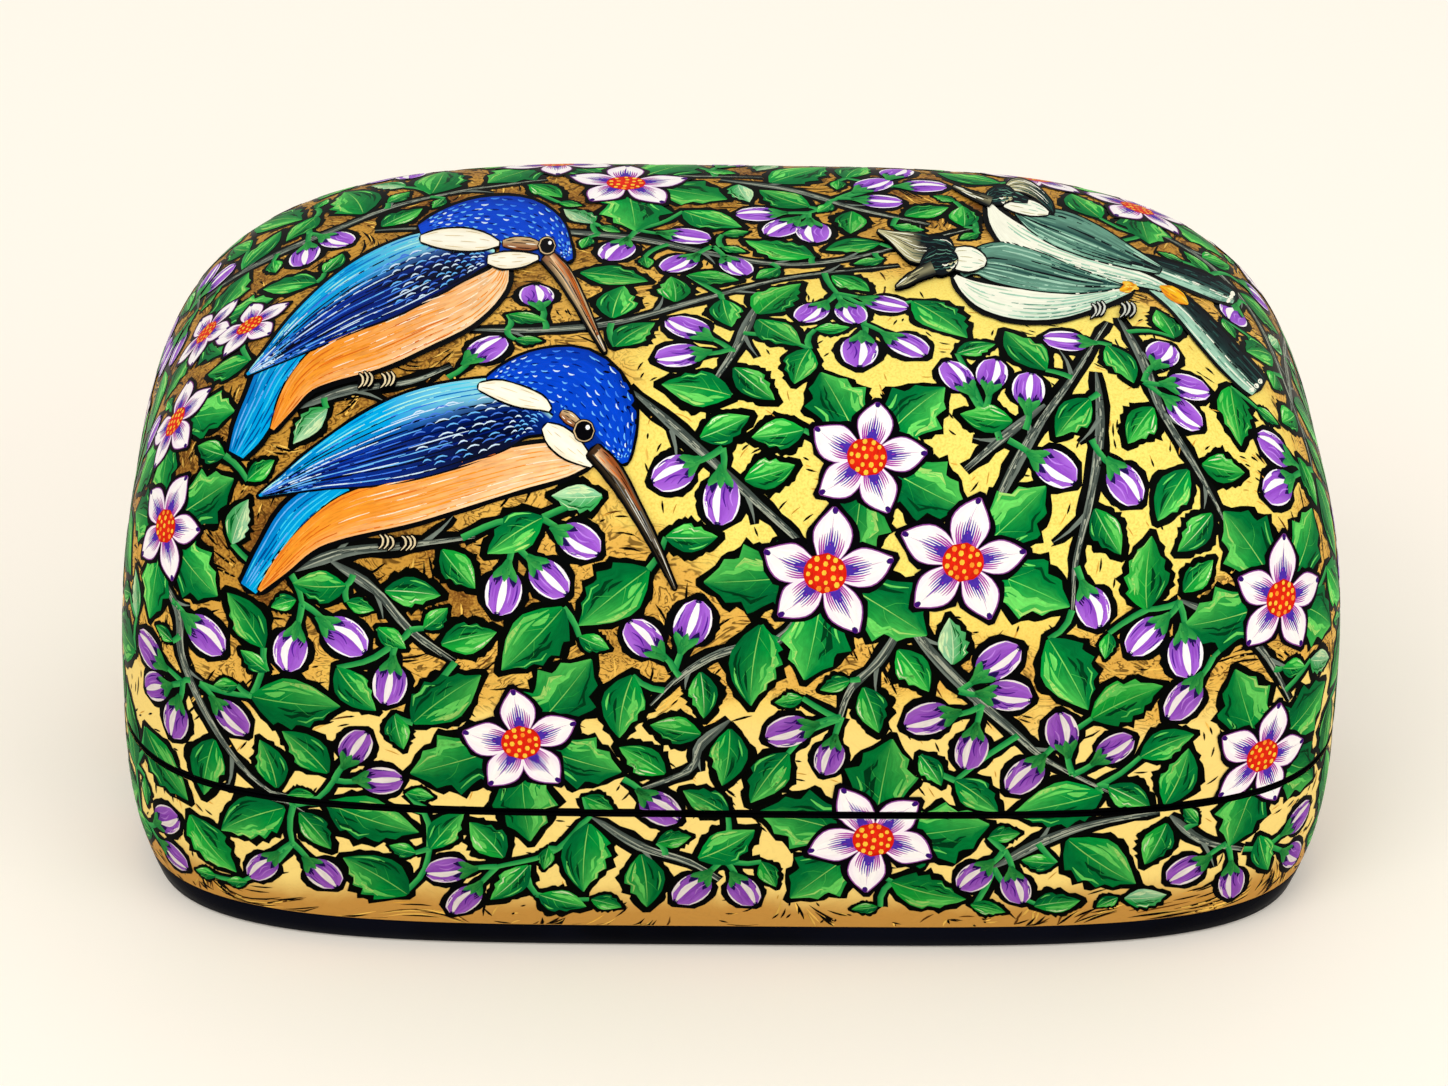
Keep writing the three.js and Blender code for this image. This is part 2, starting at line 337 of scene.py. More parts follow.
class Graph:
    """The node tree of one material or of the world."""

    def __init__(self, tree: bpy.types.NodeTree) -> None:
        """Empties the tree."""
        self.tree = tree
        tree.nodes.clear()

    def add(self, kind: str, settings: dict[str, Any], sockets: dict[Any, Any],
            output: int | str = 0) -> Wire:
        """Adds a node.

        Args:
            kind: The node's type.
            settings: Its settings.
            sockets: A value or link for each socket, by name or number.
            output: The output that the result stands for.

        Returns:
            The node's output.
        """
        node = self.tree.nodes.new(kind)
        for name, value in settings.items():
            setattr(node, name, value)
        for name, value in sockets.items():
            self.feed(node.inputs[name], value)
        return Wire(self, node.outputs[output]) if node.outputs else Wire(self, None)

    def math(self, operation: str, *values: Any) -> Wire:
        """Adds a Math node."""
        return self.add("ShaderNodeMath", {"operation": operation}, dict(enumerate(values)))

    def feed(self, socket: bpy.types.NodeSocket, value: Any) -> None:
        """Links a wire to a socket, or sets the socket's own value."""
        if isinstance(value, Wire):
            self.tree.links.new(value.socket, socket)
        elif isinstance(value, tuple) and len(value) == 3 and socket.type == "RGBA":
            socket.default_value = (*value, 1.0)
        else:
            socket.default_value = value

    def mix(self, low: Any, high: Any, share: Any) -> Wire:
        """Mixes two colours by a share."""
        sockets = {0: share, 6: low, 7: high}
        return self.add("ShaderNodeMix", {"data_type": "RGBA"}, sockets, output=2)

    def place(self, scale: tuple[float, float, float]) -> Wire:
        """Gives object coordinates, scaled."""
        spot = self.add("ShaderNodeTexCoord", {}, {}, output="Object")
        return self.add("ShaderNodeMapping", {}, {"Vector": spot, "Scale": scale})

    def noise(self, where: Wire, scale: float, detail: float = 3.0, warp: float = 0.0) -> Wire:
        """Adds noise.

        Args:
            where: The coordinates.
            scale: How many features there are in a unit of them.
            detail: How many finer octaves are added.
            warp: How far the noise is distorted.

        Returns:
            The noise, from 0 to 1.
        """
        values = {"Vector": where, "Scale": scale, "Detail": detail, "Distortion": warp}
        return self.add("ShaderNodeTexNoise", {}, values)

    def seen(self) -> Wire:
        """Tells whether the camera or a reflection sees a thing."""
        path = self.add("ShaderNodeLightPath", {}, {}, output="Is Camera Ray")
        gloss, clear = (Wire(self, path.socket.node.outputs[name])
                        for name in ("Is Glossy Ray", "Is Transmission Ray"))
        return path + gloss + clear

    def bump(self, height: Wire, depth: float, strength: float = 1.0) -> Wire:
        """Turns a height into a bumped normal."""
        values = {"Height": height, "Distance": depth, "Strength": strength}
        return self.add("ShaderNodeBump", {}, values)

    def surface(self, sockets: dict[str, Any]) -> None:
        """Ends a material with a Principled shader that has these sockets."""
        shader = self.add("ShaderNodeBsdfPrincipled", {}, sockets)
        self.add("ShaderNodeOutputMaterial", {}, {"Surface": shader})


@dataclass(frozen=True)
class Lacquer:
    """The clear gloss coat over paint and black."""

    weight: float = 0.28
    roughness: float = 0.07
    ior: float = 1.12

    def sockets(self) -> dict[str, float]:
        """Gives the coat's sockets and dulls the face under it."""
        return {"Coat Weight": self.weight, "Coat Roughness": self.roughness, "Coat IOR": self.ior,
                "Specular IOR Level": 0.0}


@dataclass(frozen=True)
class Finish:
    """A finish that makes one material."""

    name: str

    def material(self) -> bpy.types.Material:
        """Makes the material, or gives the one that is there."""
        made = bpy.data.materials.get(self.name)
        if made is None:
            made = bpy.data.materials.new(self.name)
            made.use_nodes = True
            self.build(Graph(made.node_tree))
        return made

    def build(self, graph: Graph) -> None:
        """Fills the material's node tree."""
        raise NotImplementedError


@dataclass(frozen=True)
class GoldGround(Finish):
    """The grained gold ground, orange and brown away from the lid's front and its lower band."""

    gold: Colour = srgb(252, 234, 120)
    pale_gold: Colour = srgb(252, 222, 134)
    deep_gold: Colour = srgb(243, 212, 98)
    orange: Colour = srgb(231, 180, 82)
    warm_gold: Colour = srgb(244, 198, 92)
    brown: Colour = srgb(203, 150, 59)
    dark_brown: Colour = srgb(120, 74, 28)
    amber: Colour = srgb(190, 128, 50)
    shadow: Colour = srgb(66, 39, 13)
    middle: tuple[float, float, float] = (34 * MM, -42 * MM, 86 * MM)
    reach: tuple[float, float, float] = (58 * MM, 40 * MM, 26 * MM)
    peak: float = 1.25
    band: float = 48.5 * MM
    band_slope: float = 60.0
    foot: float = 5.2 * MM
    lacquer: Lacquer = field(default_factory=Lacquer)

    def light(self, points: Array) -> Array:
        """Says how golden the ground is at points: above 0 it is gold, and well below 0 brown."""
        away = (points - np.array(self.middle)) / np.array(self.reach)
        low = (self.band - points[..., 2]) * self.band_slope
        return np.maximum(self.peak - (away**2).sum(-1), low)

    def build(self, graph: Graph) -> None:
        """Mixes the golds and browns by place and draws the brown hatching."""
        spot = graph.add("ShaderNodeTexCoord", {}, {}, output="Object")
        node = graph.add("ShaderNodeSeparateXYZ", {}, {"Vector": spot}).socket.node
        axes = [Wire(graph, node.outputs[name]) for name in ("X", "Y", "Z")]
        height = axes[2]
        cloud = graph.noise(spot, 34.0, 3.0)
        patch = graph.noise(spot, 75.0, 4.0, 0.6)
        grain = graph.noise(spot, 2600.0, 2.0)
        glow: Any = self.peak
        for axis, middle, reach in zip(axes, self.middle, self.reach):
            part = (axis - middle) * (1.0 / reach)
            glow = glow - part * part
        lower = (self.band - height) * self.band_slope
        light = graph.math("MAXIMUM", glow, lower)
        warm = light + (cloud - 0.5) * 1.3 + (patch - 0.5) * 1.3
        golden = graph.mix(self.deep_gold, self.gold, grain.step(0.28, 0.6))
        golden = graph.mix(golden, self.warm_gold, (1.0 - glow.step(-0.1, 0.75)) * 0.6)
        golden = graph.mix(golden, self.pale_gold, (self.band - height).step(-4 * MM, 6 * MM) * 0.8)
        umber = graph.mix(self.dark_brown, self.brown, (patch * 0.6 + grain * 0.4).step(0.35, 0.6))
        orange = graph.mix(self.brown, self.orange, grain.step(0.2, 0.5))
        ground = graph.mix(umber, orange, warm.step(-1.1, -0.25))
        bright = warm.step(-0.15, 0.3)
        ground = graph.mix(ground, golden, bright)
        near_foot = (self.foot + 7 * MM + (patch - 0.5) * (8 * MM) - height).step(-3 * MM, 4 * MM)
        ground = graph.mix(ground, self.amber, near_foot * 0.85)
        flow = graph.noise(graph.place((1.0, 1.0, 1.6)), 120.0, 3.0, 1.6)
        lines = abs(flow * 10.0 - graph.noise(spot, 9.0, 1.0) * 4.0)
        comb = graph.math("FRACT", lines)
        broken = graph.noise(spot, 420.0, 2.0)
        hatch = (comb.step(0.6, 0.82) * broken.step(0.38, 0.48)) * (0.8 - bright * 0.76)
        colour = graph.mix(ground, self.shadow, hatch)
        relief = grain * 0.4 - hatch
        graph.surface({"Base Color": colour, "Roughness": 0.38 + grain * 0.14, "Metallic": 0.0,
                       "Normal": graph.bump(relief, 0.03 * MM, 0.5), **self.lacquer.sockets()})


@dataclass(frozen=True)
class BrushPaint(Finish):
    """Opaque brushed colour from the paint attribute, with fine bristle streaks."""

    streak: float = 0.75
    blotch: float = 0.3
    calm: float = 0.72
    streaks_per_mm: float = 3.2
    lacquer: Lacquer = field(default_factory=Lacquer)

    def build(self, graph: Graph) -> None:
        """Streaks the painted colour along each brush stroke, and white paint less than the rest."""
        paint = graph.add("ShaderNodeVertexColor", {"layer_name": "Paint"}, {})
        blue = graph.add("ShaderNodeSeparateColor", {}, {"Color": paint}, output="Blue")
        brush = graph.add("ShaderNodeUVMap", {"uv_map": "Brush"}, {})
        scale = (self.streaks_per_mm, self.streaks_per_mm / 9, 1.0)
        along = graph.add("ShaderNodeMapping", {}, {"Vector": brush, "Scale": scale})
        bristle = graph.noise(along, 1.0, 2.0, 0.25)
        blotch = graph.noise(brush, 0.45, 2.0)
        depth = 1.0 - blue.step(0.45, 0.85) * self.calm
        streaks = (bristle - 0.5) * self.streak + (blotch - 0.5) * self.blotch
        sockets = {"Color": paint, "Value": 0.99 + streaks * depth}
        colour = graph.add("ShaderNodeHueSaturation", {}, sockets)
        graph.surface({"Base Color": colour, "Roughness": 0.42 + bristle * 0.12,
                       "Normal": graph.bump(bristle, 0.012 * MM, 0.5), **self.lacquer.sockets()})


@dataclass(frozen=True)
class BlackLacquer(Finish):
    """Blue-black gloss lacquer, hardly uneven."""

    low: Colour = srgb(4, 5, 11)
    high: Colour = srgb(9, 11, 22)
    lacquer: Lacquer = field(default_factory=lambda: Lacquer(roughness=0.14))

    def build(self, graph: Graph) -> None:
        """Varies the black a little and adds faint ripples."""
        spot = graph.place((1.0, 1.0, 1.0))
        cloud = graph.noise(spot, 45.0, 3.0)
        dust = graph.noise(spot, 900.0, 2.0)
        colour = graph.mix(self.low, self.high, cloud.step(0.35, 0.65))
        graph.surface({"Base Color": colour, "Roughness": 0.28 + dust * 0.16,
                       "Normal": graph.bump(cloud + dust * 0.2, 0.05 * MM, 0.4),
                       **self.lacquer.sockets()})


SEAM_BLACK = BlackLacquer("seam_lacquer", srgb(1, 1, 2), srgb(4, 4, 6), Lacquer(0.12, 0.2))


@dataclass(frozen=True)
class PulpBoard(Finish):
    """Plain pressed pulp board with fibres."""

    low: Colour = srgb(146, 116, 78)
    high: Colour = srgb(186, 158, 114)

    def build(self, graph: Graph) -> None:
        """Mixes fibres and specks."""
        fibre = graph.noise(graph.place((1.0, 4.0, 4.0)), 420.0, 4.0, 0.8)
        speck = graph.noise(graph.place((1.0, 1.0, 1.0)), 1500.0, 2.0)
        colour = graph.mix(self.low, self.high, (fibre * 0.7 + speck * 0.3).step(0.35, 0.65))
        graph.surface({"Base Color": colour, "Roughness": 0.82 + fibre * 0.12,
                       "Normal": graph.bump(fibre + speck, 0.12 * MM, 0.5)})


@dataclass(frozen=True)
class PileCloth(Finish):
    """Velvet or felt: a short pile, brushed in patches."""

    low: Colour = srgb(66, 4, 14)
    high: Colour = srgb(150, 14, 34)
    pile_per_metre: float = 1500.0
    brushed: float = 1.0
    sheen: float = 0.6

    def build(self, graph: Graph) -> None:
        """Mixes the pile's fine noise with the larger brushed patches."""
        spot = graph.place((1.0, 1.0, 1.0))
        pile = graph.noise(spot, self.pile_per_metre, 3.0, 0.4)
        patch = graph.noise(spot, 38.0, 3.0, 0.9)
        tone = pile * 0.55 + patch * (0.45 * self.brushed)
        colour = graph.mix(self.low, self.high, tone.step(0.32, 0.66))
        graph.surface({"Base Color": colour, "Roughness": 0.78 + pile * 0.18,
                       "Sheen Weight": self.sheen, "Sheen Roughness": 0.35,
                       "Sheen Tint": (*self.high, 1.0), "Specular IOR Level": 0.2,
                       "Normal": graph.bump(pile + patch * 0.5, 0.25 * MM, 0.7)})


@dataclass(frozen=True)
class PaleFloor(Finish):
    """The plain cream table that the box stands on."""

    colour: Colour = srgb(243, 236, 226)
    glow: Colour = srgb(252, 246, 232)
    lift: float = 0.17

    def build(self, graph: Graph) -> None:
        """Adds a little light of its own where the camera or a reflection sees the floor."""
        seen = graph.seen() * self.lift
        cloth = graph.add("ShaderNodeBsdfDiffuse", {}, {"Color": self.colour})
        light = graph.add("ShaderNodeEmission", {}, {"Color": self.glow, "Strength": seen})
        both = graph.add("ShaderNodeAddShader", {}, {0: cloth, 1: light})
        graph.add("ShaderNodeOutputMaterial", {}, {"Surface": both})


class Coat(Enum):
    """The coats of paint, each of which becomes one piece on the lid and one on the tray."""

    OUTLINES = "outlines"
    TWIGS = "twigs"
    LEAVES = "leaves"
    LEAF_LIGHTS = "leaf_lights"
    BUDS = "buds"
    FLOWERS = "flowers"
    BIRDS = "birds"


class Paint(Enum):
    """The kinds of brushwork: the coat that each belongs to, and its height over the ground."""

    GROUND = (Coat.OUTLINES, 0.034 * MM)
    OUTLINE = (Coat.OUTLINES, 0.050 * MM)
    SPUR = (Coat.TWIGS, 0.066 * MM)
    TWIG = (Coat.TWIGS, 0.070 * MM)
    TWIG_GRAIN = (Coat.TWIGS, 0.085 * MM)
    STEM = (Coat.LEAVES, 0.090 * MM)
    LEAF = (Coat.LEAVES, 0.105 * MM)
    LEAF_LIGHT = (Coat.LEAF_LIGHTS, 0.125 * MM)
    BUD = (Coat.BUDS, 0.130 * MM)
    BUD_STRIPE = (Coat.BUDS, 0.146 * MM)
    CALYX = (Coat.BUDS, 0.160 * MM)
    FLOWER_OUTLINE = (Coat.OUTLINES, 0.170 * MM)
    PETAL_RIM = (Coat.FLOWERS, 0.182 * MM)
    PETAL = (Coat.FLOWERS, 0.194 * MM)
    PETAL_LINE = (Coat.FLOWERS, 0.210 * MM)
    HEART = (Coat.FLOWERS, 0.224 * MM)
    DOT = (Coat.FLOWERS, 0.240 * MM)
    BIRD_OUTLINE = (Coat.OUTLINES, 0.235 * MM)
    BIRD = (Coat.BIRDS, 0.260 * MM)


INK = srgb(5, 6, 6)

Shade = Callable[[Array, Array], Array]


def colours_of(shade: Shade | Colour, along: Array, across: Array) -> Array:
    """Gives each point its colour, from a shade by place or from one plain colour."""
    tones = shade(along, across) if callable(shade) else np.ones((along.size, 3)) * np.array(shade)
    return np.array(tones).reshape(-1, 3)


def smooth_through(knots: Array, count: int) -> Array:
    """Runs a Catmull-Rom curve through knots.

    Args:
        knots: One row for each knot.
        count: How many points to return, evenly spaced in the knots' own steps.

    Returns:
        The points, with as many columns as the knots.
    """
    ends = np.concatenate([[2 * knots[0] - knots[1]], knots, [2 * knots[-1] - knots[-2]]])
    place = np.linspace(0, len(knots) - 1 - 1e-9, count)
    start = place.astype(int)
    t = (place - start)[:, None]
    a, b, c, d = (ends[start + k] for k in range(4))
    return 0.5 * (2 * b + (c - a) * t + (2 * a - 5 * b + 4 * c - d) * t**2
                  + (3 * b - a - 3 * c + d) * t**3)


def grid_faces(rows: int, columns: int) -> Array:
    """Gives the four corners of each face of a grid of points."""
    corner = (np.arange(rows - 1)[:, None] * columns + np.arange(columns - 1)).ravel()
    return np.stack([corner, corner + columns, corner + columns + 1, corner + 1], axis=-1)


@dataclass
class Ribbon:
    """A brush shape: a line down its middle, and how far it reaches to each side of it."""

    line: Array
    left: Array
    right: Array

    @classmethod
    def through(cls, knots: Sequence[tuple[float, float, float]], count: int = 25) -> "Ribbon":
        """Runs a smooth ribbon through knots of an x, a y and a half width each."""
        smooth = smooth_through(np.array(knots, float), count)
        return cls(smooth[:, :2], smooth[:, 2], smooth[:, 2])

    @classmethod
    def disc(cls, spot: Sequence[float], radius: float, least: float, count: int) -> "Ribbon":
        """Makes a round ribbon.

        Args:
            spot: Its middle.
            radius: Its radius.
            least: Its half width at both ends.
            count: How many points its line gets.

        Returns:
            The ribbon.
        """
        s = np.linspace(-1, 1, count)
        half = np.sqrt(1 - s**2) * radius + least
        return cls(np.stack([spot[0] + s * radius, spot[1] + 0 * s], axis=-1), half, half)

    def at(self, along: Array, across: Array) -> Array:
        """Finds points of the shape.

        Args:
            along: Shares of the way from its start to its end.
            across: From -1 at its left edge to 1 at its right edge.

        Returns:
            Points with x and y.
        """
        marks = np.linspace(0.0, 1.0, len(self.line))
        steps = unit(np.gradient(self.line, axis=0))
        spot, run = (np.stack([np.interp(along, marks, row) for row in rows.T], axis=-1)
                     for rows in (self.line, steps))
        run = unit(run)
        side = np.stack([-run[..., 1], run[..., 0]], axis=-1)
        left, right = (np.interp(along, marks, edge) for edge in (self.left, self.right))
        return spot + side * (across * np.where(across < 0, left, right))[..., None]

    def grown(self, reach: float, rng: np.random.Generator, uneven: float = 0.3) -> "Ribbon":
        """Makes the larger shape that shows as a dark edge round this one.

        Args:
            reach: How far it stands out on every side.
            rng: Where its unevenness is drawn from.
            uneven: How uneven its edge is, as a share of the reach.

        Returns:
            The larger ribbon.
        """
        line, edges = self.line, []
        line = np.concatenate([line[:1] + unit(line[:1] - line[1:2]) * reach, line,
                               line[-1:] + unit(line[-1:] - line[-2:-1]) * reach])
        for side in (self.left, self.right):
            edge = np.pad(side, 1) + reach * (1.0 + uneven * rng.uniform(-1.0, 1.0, len(line)))
            edge[[0, -1]] = reach * 0.5, reach * 0.45
            edges.append(edge)
        return Ribbon(line, *edges)


@dataclass
class Patch:
    """One laid stroke: its points, faces, colours and brush coordinates."""

    coat: Coat
    lift: float
    points: Array
    faces: Array
    colours: Array
    brush: Array


Stencil = list[Patch]


class Painter:
    """Draws one motif, flat and in its own unit."""

    unit_size = MM

    def __init__(self, rng: np.random.Generator) -> None:
        """Keeps the source of chance and starts with nothing drawn."""
        self.rng = rng
        self.drawn: Stencil = []

    def lay(self, paint: Paint, shape: Ribbon, size: tuple[int, int], shade: Shade | Colour,
            along: tuple[float, float] = (0.0, 1.0), middle: Array | float = 0.0,
            half: Array | float = 1.0, rise: float = 0.0) -> None:
        """Lays paint on a ribbon or on a strip of it.

        Args:
            paint: The kind of brushwork.
            shape: The ribbon.
            size: How many rows and columns of points the paint gets.
            shade: Its colour, plain or by place.
            along: Where on the ribbon it starts and ends.
            middle: The strip's middle across the ribbon, for each row.
            half: Half the strip's width across the ribbon, for each row.
            rise: How far it lies above its kind's usual height.
        """
        coat, lift = paint.value
        rows, columns = size
        share, local = (np.linspace(*ends, rows)[:, None] * np.ones(columns)
                        for ends in (along, (0, 1)))
        offset = np.linspace(-1.0, 1.0, columns)
        across = np.reshape(middle, (-1, 1)) + np.reshape(half, (-1, 1)) * offset
        points = shape.at(share, np.broadcast_to(across, size))
        run = np.linspace(0, np.linalg.norm(np.diff(points[:, 0], axis=0), axis=-1).sum(), rows)
        width = np.linalg.norm(points[:, -1] - points[:, 0], axis=-1).mean()
        brush = np.stack(np.broadcast_arrays(offset * width / 2, run[:, None]), axis=-1)
        colours = colours_of(shade, local, np.broadcast_to(offset, size))
        self.drawn.append(Patch(coat, lift + rise, points.reshape(-1, 2), grid_faces(*size),
                                colours, brush.reshape(-1, 2) / self.unit_size))


@dataclass
class Place:
    """A spot on the box with the direction in which a motif points."""

    spot: Array
    heading: Array
    facing: Array

    @property
    def side(self) -> Array:
        """The direction to the motif's left."""
        return np.cross(self.facing, self.heading)

    def way(self, angle: float) -> Array:
        """Gives the direction at an angle to the left of the heading."""
        return swing(self.heading, self.side, angle)

    def carry(self, flat: Array) -> Array:
        """Carries a motif's flat points to the spot."""
        return self.spot + flat[..., :1] * self.heading + flat[..., 1:] * self.side


class Layer:
    """What one coat holds so far, on the whole box."""

    def __init__(self) -> None:
        """Starts with nothing."""
        self.motifs: list[tuple[Array, ...]] = []
        self.count = 0

    def take(self, points: Array, lift: float, faces: Array, colours: Array, brush: Array,
             cell: Array) -> None:
        """Adds a motif's patch that has been brought near the box.

        Args:
            points: Its points.
            lift: How high it lies over the ground.
            faces: The corners of its faces.
            colours: Its points' colours.
            brush: Their brush coordinates.
            cell: Their places inside the motif's own square, from 0 to 1.
        """
        home = np.full((len(points), 1), len(self.motifs))
        self.motifs.append((points, np.full(len(points), lift), faces + self.count, colours, brush,
                            np.concatenate([cell, home], axis=1)))
        self.count += len(points)


class Room:
    """Keeps account of which places of the box are painted already."""

    cell: float = 0.66 * MM
    margin: float = 6.0 * MM

    def __init__(self, form: BoxForm) -> None:
        """Starts with every place free."""
        reach = form.reach
        self.low = np.array([-reach[0], -reach[1], 0.0]) - self.margin
        size = np.array([2 * reach[0], 2 * reach[1], reach[2]]) + 2 * self.margin
        self.taken = np.zeros(np.ceil(size / self.cell).astype(int), bool)

    def _index(self, points: Array) -> tuple[Array, ...]:
        """Gives the cell of each point."""
        cells = ((points.reshape(-1, 3) - self.low) / self.cell).astype(int)
        return tuple(np.clip(cells, 0, np.array(self.taken.shape) - 1).T)

    def mark(self, points: Array, faces: Array | None = None) -> None:
        """Takes the cells of points and those next to them.

        Args:
            points: The points.
            faces: The faces between them, whose middles are taken as well.
        """
        if faces is not None:
            corners = points[faces]
            sides = ((corners + np.roll(corners, -1, axis=1)) / 2).reshape(-1, 3)
            points = np.concatenate([points, corners.mean(axis=1), sides])
        for step in np.ndindex(3, 3, 3):
            self.taken[self._index(points + (np.array(step) - 1) * self.cell)] = True

    def free(self, points: Array) -> Array:
        """Says which points lie in free cells."""
        return ~self.taken[self._index(points)].reshape(points.shape[:-1])


class Margin(Enum):
    """The edges that a leaf can have: half widths by place from its stalk to its tip."""

    SMOOTH = ((0, 0.10), (0.15, 0.58), (0.35, 0.97), (0.5, 1.0), (0.7, 0.78), (0.86, 0.42),
              (1, 0.02))
    TOOTHED = ((0, 0.10), (0.1, 0.52), (0.25, 0.98), (0.3, 0.80), (0.45, 1.08), (0.5, 0.80),
               (0.65, 0.90), (0.7, 0.58), (0.8, 0.56), (0.85, 0.30), (1, 0.02))
    NOTCHED = ((0, 0.10), (0.15, 0.62), (0.35, 1.0), (0.5, 1.06), (0.55, 0.76), (0.7, 0.80),
               (0.75, 0.52), (0.9, 0.28), (1, 0.02))
    LOBED = ((0, 0.12), (0.1, 0.70), (0.25, 1.06), (0.3, 0.98), (0.35, 0.68), (0.45, 0.80),
             (0.6, 1.04), (0.65, 0.62), (0.8, 0.64), (0.85, 0.40), (1, 0.03))


@dataclass(frozen=True)
class LeafKind:
    """A kind of leaf: its length and width in millimetres, bend, edges, mid green and rib green."""

    length: float
    width: float
    bend: float
    margins: tuple[Margin, Margin]
    mid: Colour = srgb(4, 152, 60)
    edge: Colour = srgb(160, 218, 110)
    dark: Colour = srgb(0, 100, 50)
    light: Colour = srgb(104, 212, 96)


class LeafPainter(Painter):
    """Draws leaves: a body of two greens, a pale midrib, side veins and light edge strokes."""

    outline = 1.3 * MM
    black = srgb(4, 6, 3)

    def draw(self, kind: LeafKind) -> Stencil:
        """Draws one leaf from its stalk at the origin to its tip along x.

        Args:
            kind: The leaf's sizes and greens.

        Returns:
            The leaf's stencil.
        """
        rng = self.rng
        t = np.linspace(0.0, 1.0, 41)
        length, half = kind.length * MM, kind.width / 2 * MM
        bend = kind.bend * rng.uniform(0.4, 1.3) * length
        edges = []
        for margin in kind.margins if rng.uniform() < 0.5 else kind.margins[::-1]:
            place, width = np.array(margin.value).T
            place = place + rng.uniform(-0.01, 0.01) * arch(place)
            edges.append(half * rng.uniform(0.88, 1.08) * np.interp(t, place, width))
        body = Ribbon(np.stack([length * t, bend * (t**2 - 0.35 * t)], axis=-1), *edges)
        self.lay(Paint.OUTLINE, body.grown(self.outline, rng, 0.42), (17, 5), self.black)
        lift = rng.uniform(-0.15, 0.15)

        def greens(along: Array, across: Array) -> Array:
            """Colours one half light and one half dark, lighter towards the tip."""
            share = (0.5 + 0.5 * np.tanh(across * 3.0)) * 0.85 + 0.30 * along + lift
            tip = np.clip(along * 1.4 - 0.45, 0, 1) * np.clip(0.3 + across, 0, 1)
            return blend(blend(kind.dark, kind.mid, share), kind.light, tip * 0.75)

        self.lay(Paint.LEAF, body, (21, 5), greens)
        self.veins(body, kind)
        self.strokes(body, kind)
        return self.drawn

    def veins(self, body: Ribbon, kind: LeafKind) -> None:
        """Adds the midrib and the side veins.

        Args:
            body: The leaf's shape.
            kind: The leaf's sizes and greens.
        """
        rng, reach = self.rng, kind.width / 2
        pale = blend(kind.light, kind.edge, rng.uniform(0.2, 0.9))
        self.lay(Paint.LEAF_LIGHT, body, (8, 2), pale, (0.02, 0.9), 0.0,
                 0.13 / reach * np.linspace(1.0, 0.3, 8))
        s = np.linspace(0, 1, 4)
        for side in (-1, 1):
            for start in rng.permutation([0.14, 0.32, 0.50])[:rng.integers(1, 4)]:
                middle = side * (0.04 + rng.uniform(0.5, 0.76) * s**0.9)
                tone = blend(kind.mid, kind.light, rng.uniform(0.05, 0.6))
                self.lay(Paint.LEAF_LIGHT, body, (4, 2), tone, (start, start + 0.2), middle,
                         0.09 / reach * (1.15 - s))

    def strokes(self, body: Ribbon, kind: LeafKind) -> None:
        """Adds the light and dark strokes that taper along the leaf.

        Args:
            body: The leaf's shape.
            kind: The leaf's greens.
        """
        rng = self.rng
        s = np.linspace(0, 1, 5)
        deep = tuple(0.35 * np.array(kind.dark))
        for colour, count, across, half in ((kind.light, 5, (0.35, 0.88), (0.06, 0.15)),
                                            (kind.edge, 2, (0.62, 0.90), (0.05, 0.09)),
                                            (kind.light, 1, (-0.88, -0.7), (0.04, 0.08)),
                                            (deep, 3, (-0.75, -0.2), (0.04, 0.09))):
            for _ in range(count):
                start = rng.uniform(0.08, 0.6)
                end = min(start + rng.uniform(0.2, 0.42), 0.97)
                middle = rng.uniform(*across) + rng.uniform(-0.12, 0.06) * arch(s)
                width = rng.uniform(*half) * arch(s, 0.06, 0.88)
                self.lay(Paint.LEAF_LIGHT, body, (5, 2), colour, (start, end),
                         np.clip(middle, -0.9, 0.9), width)


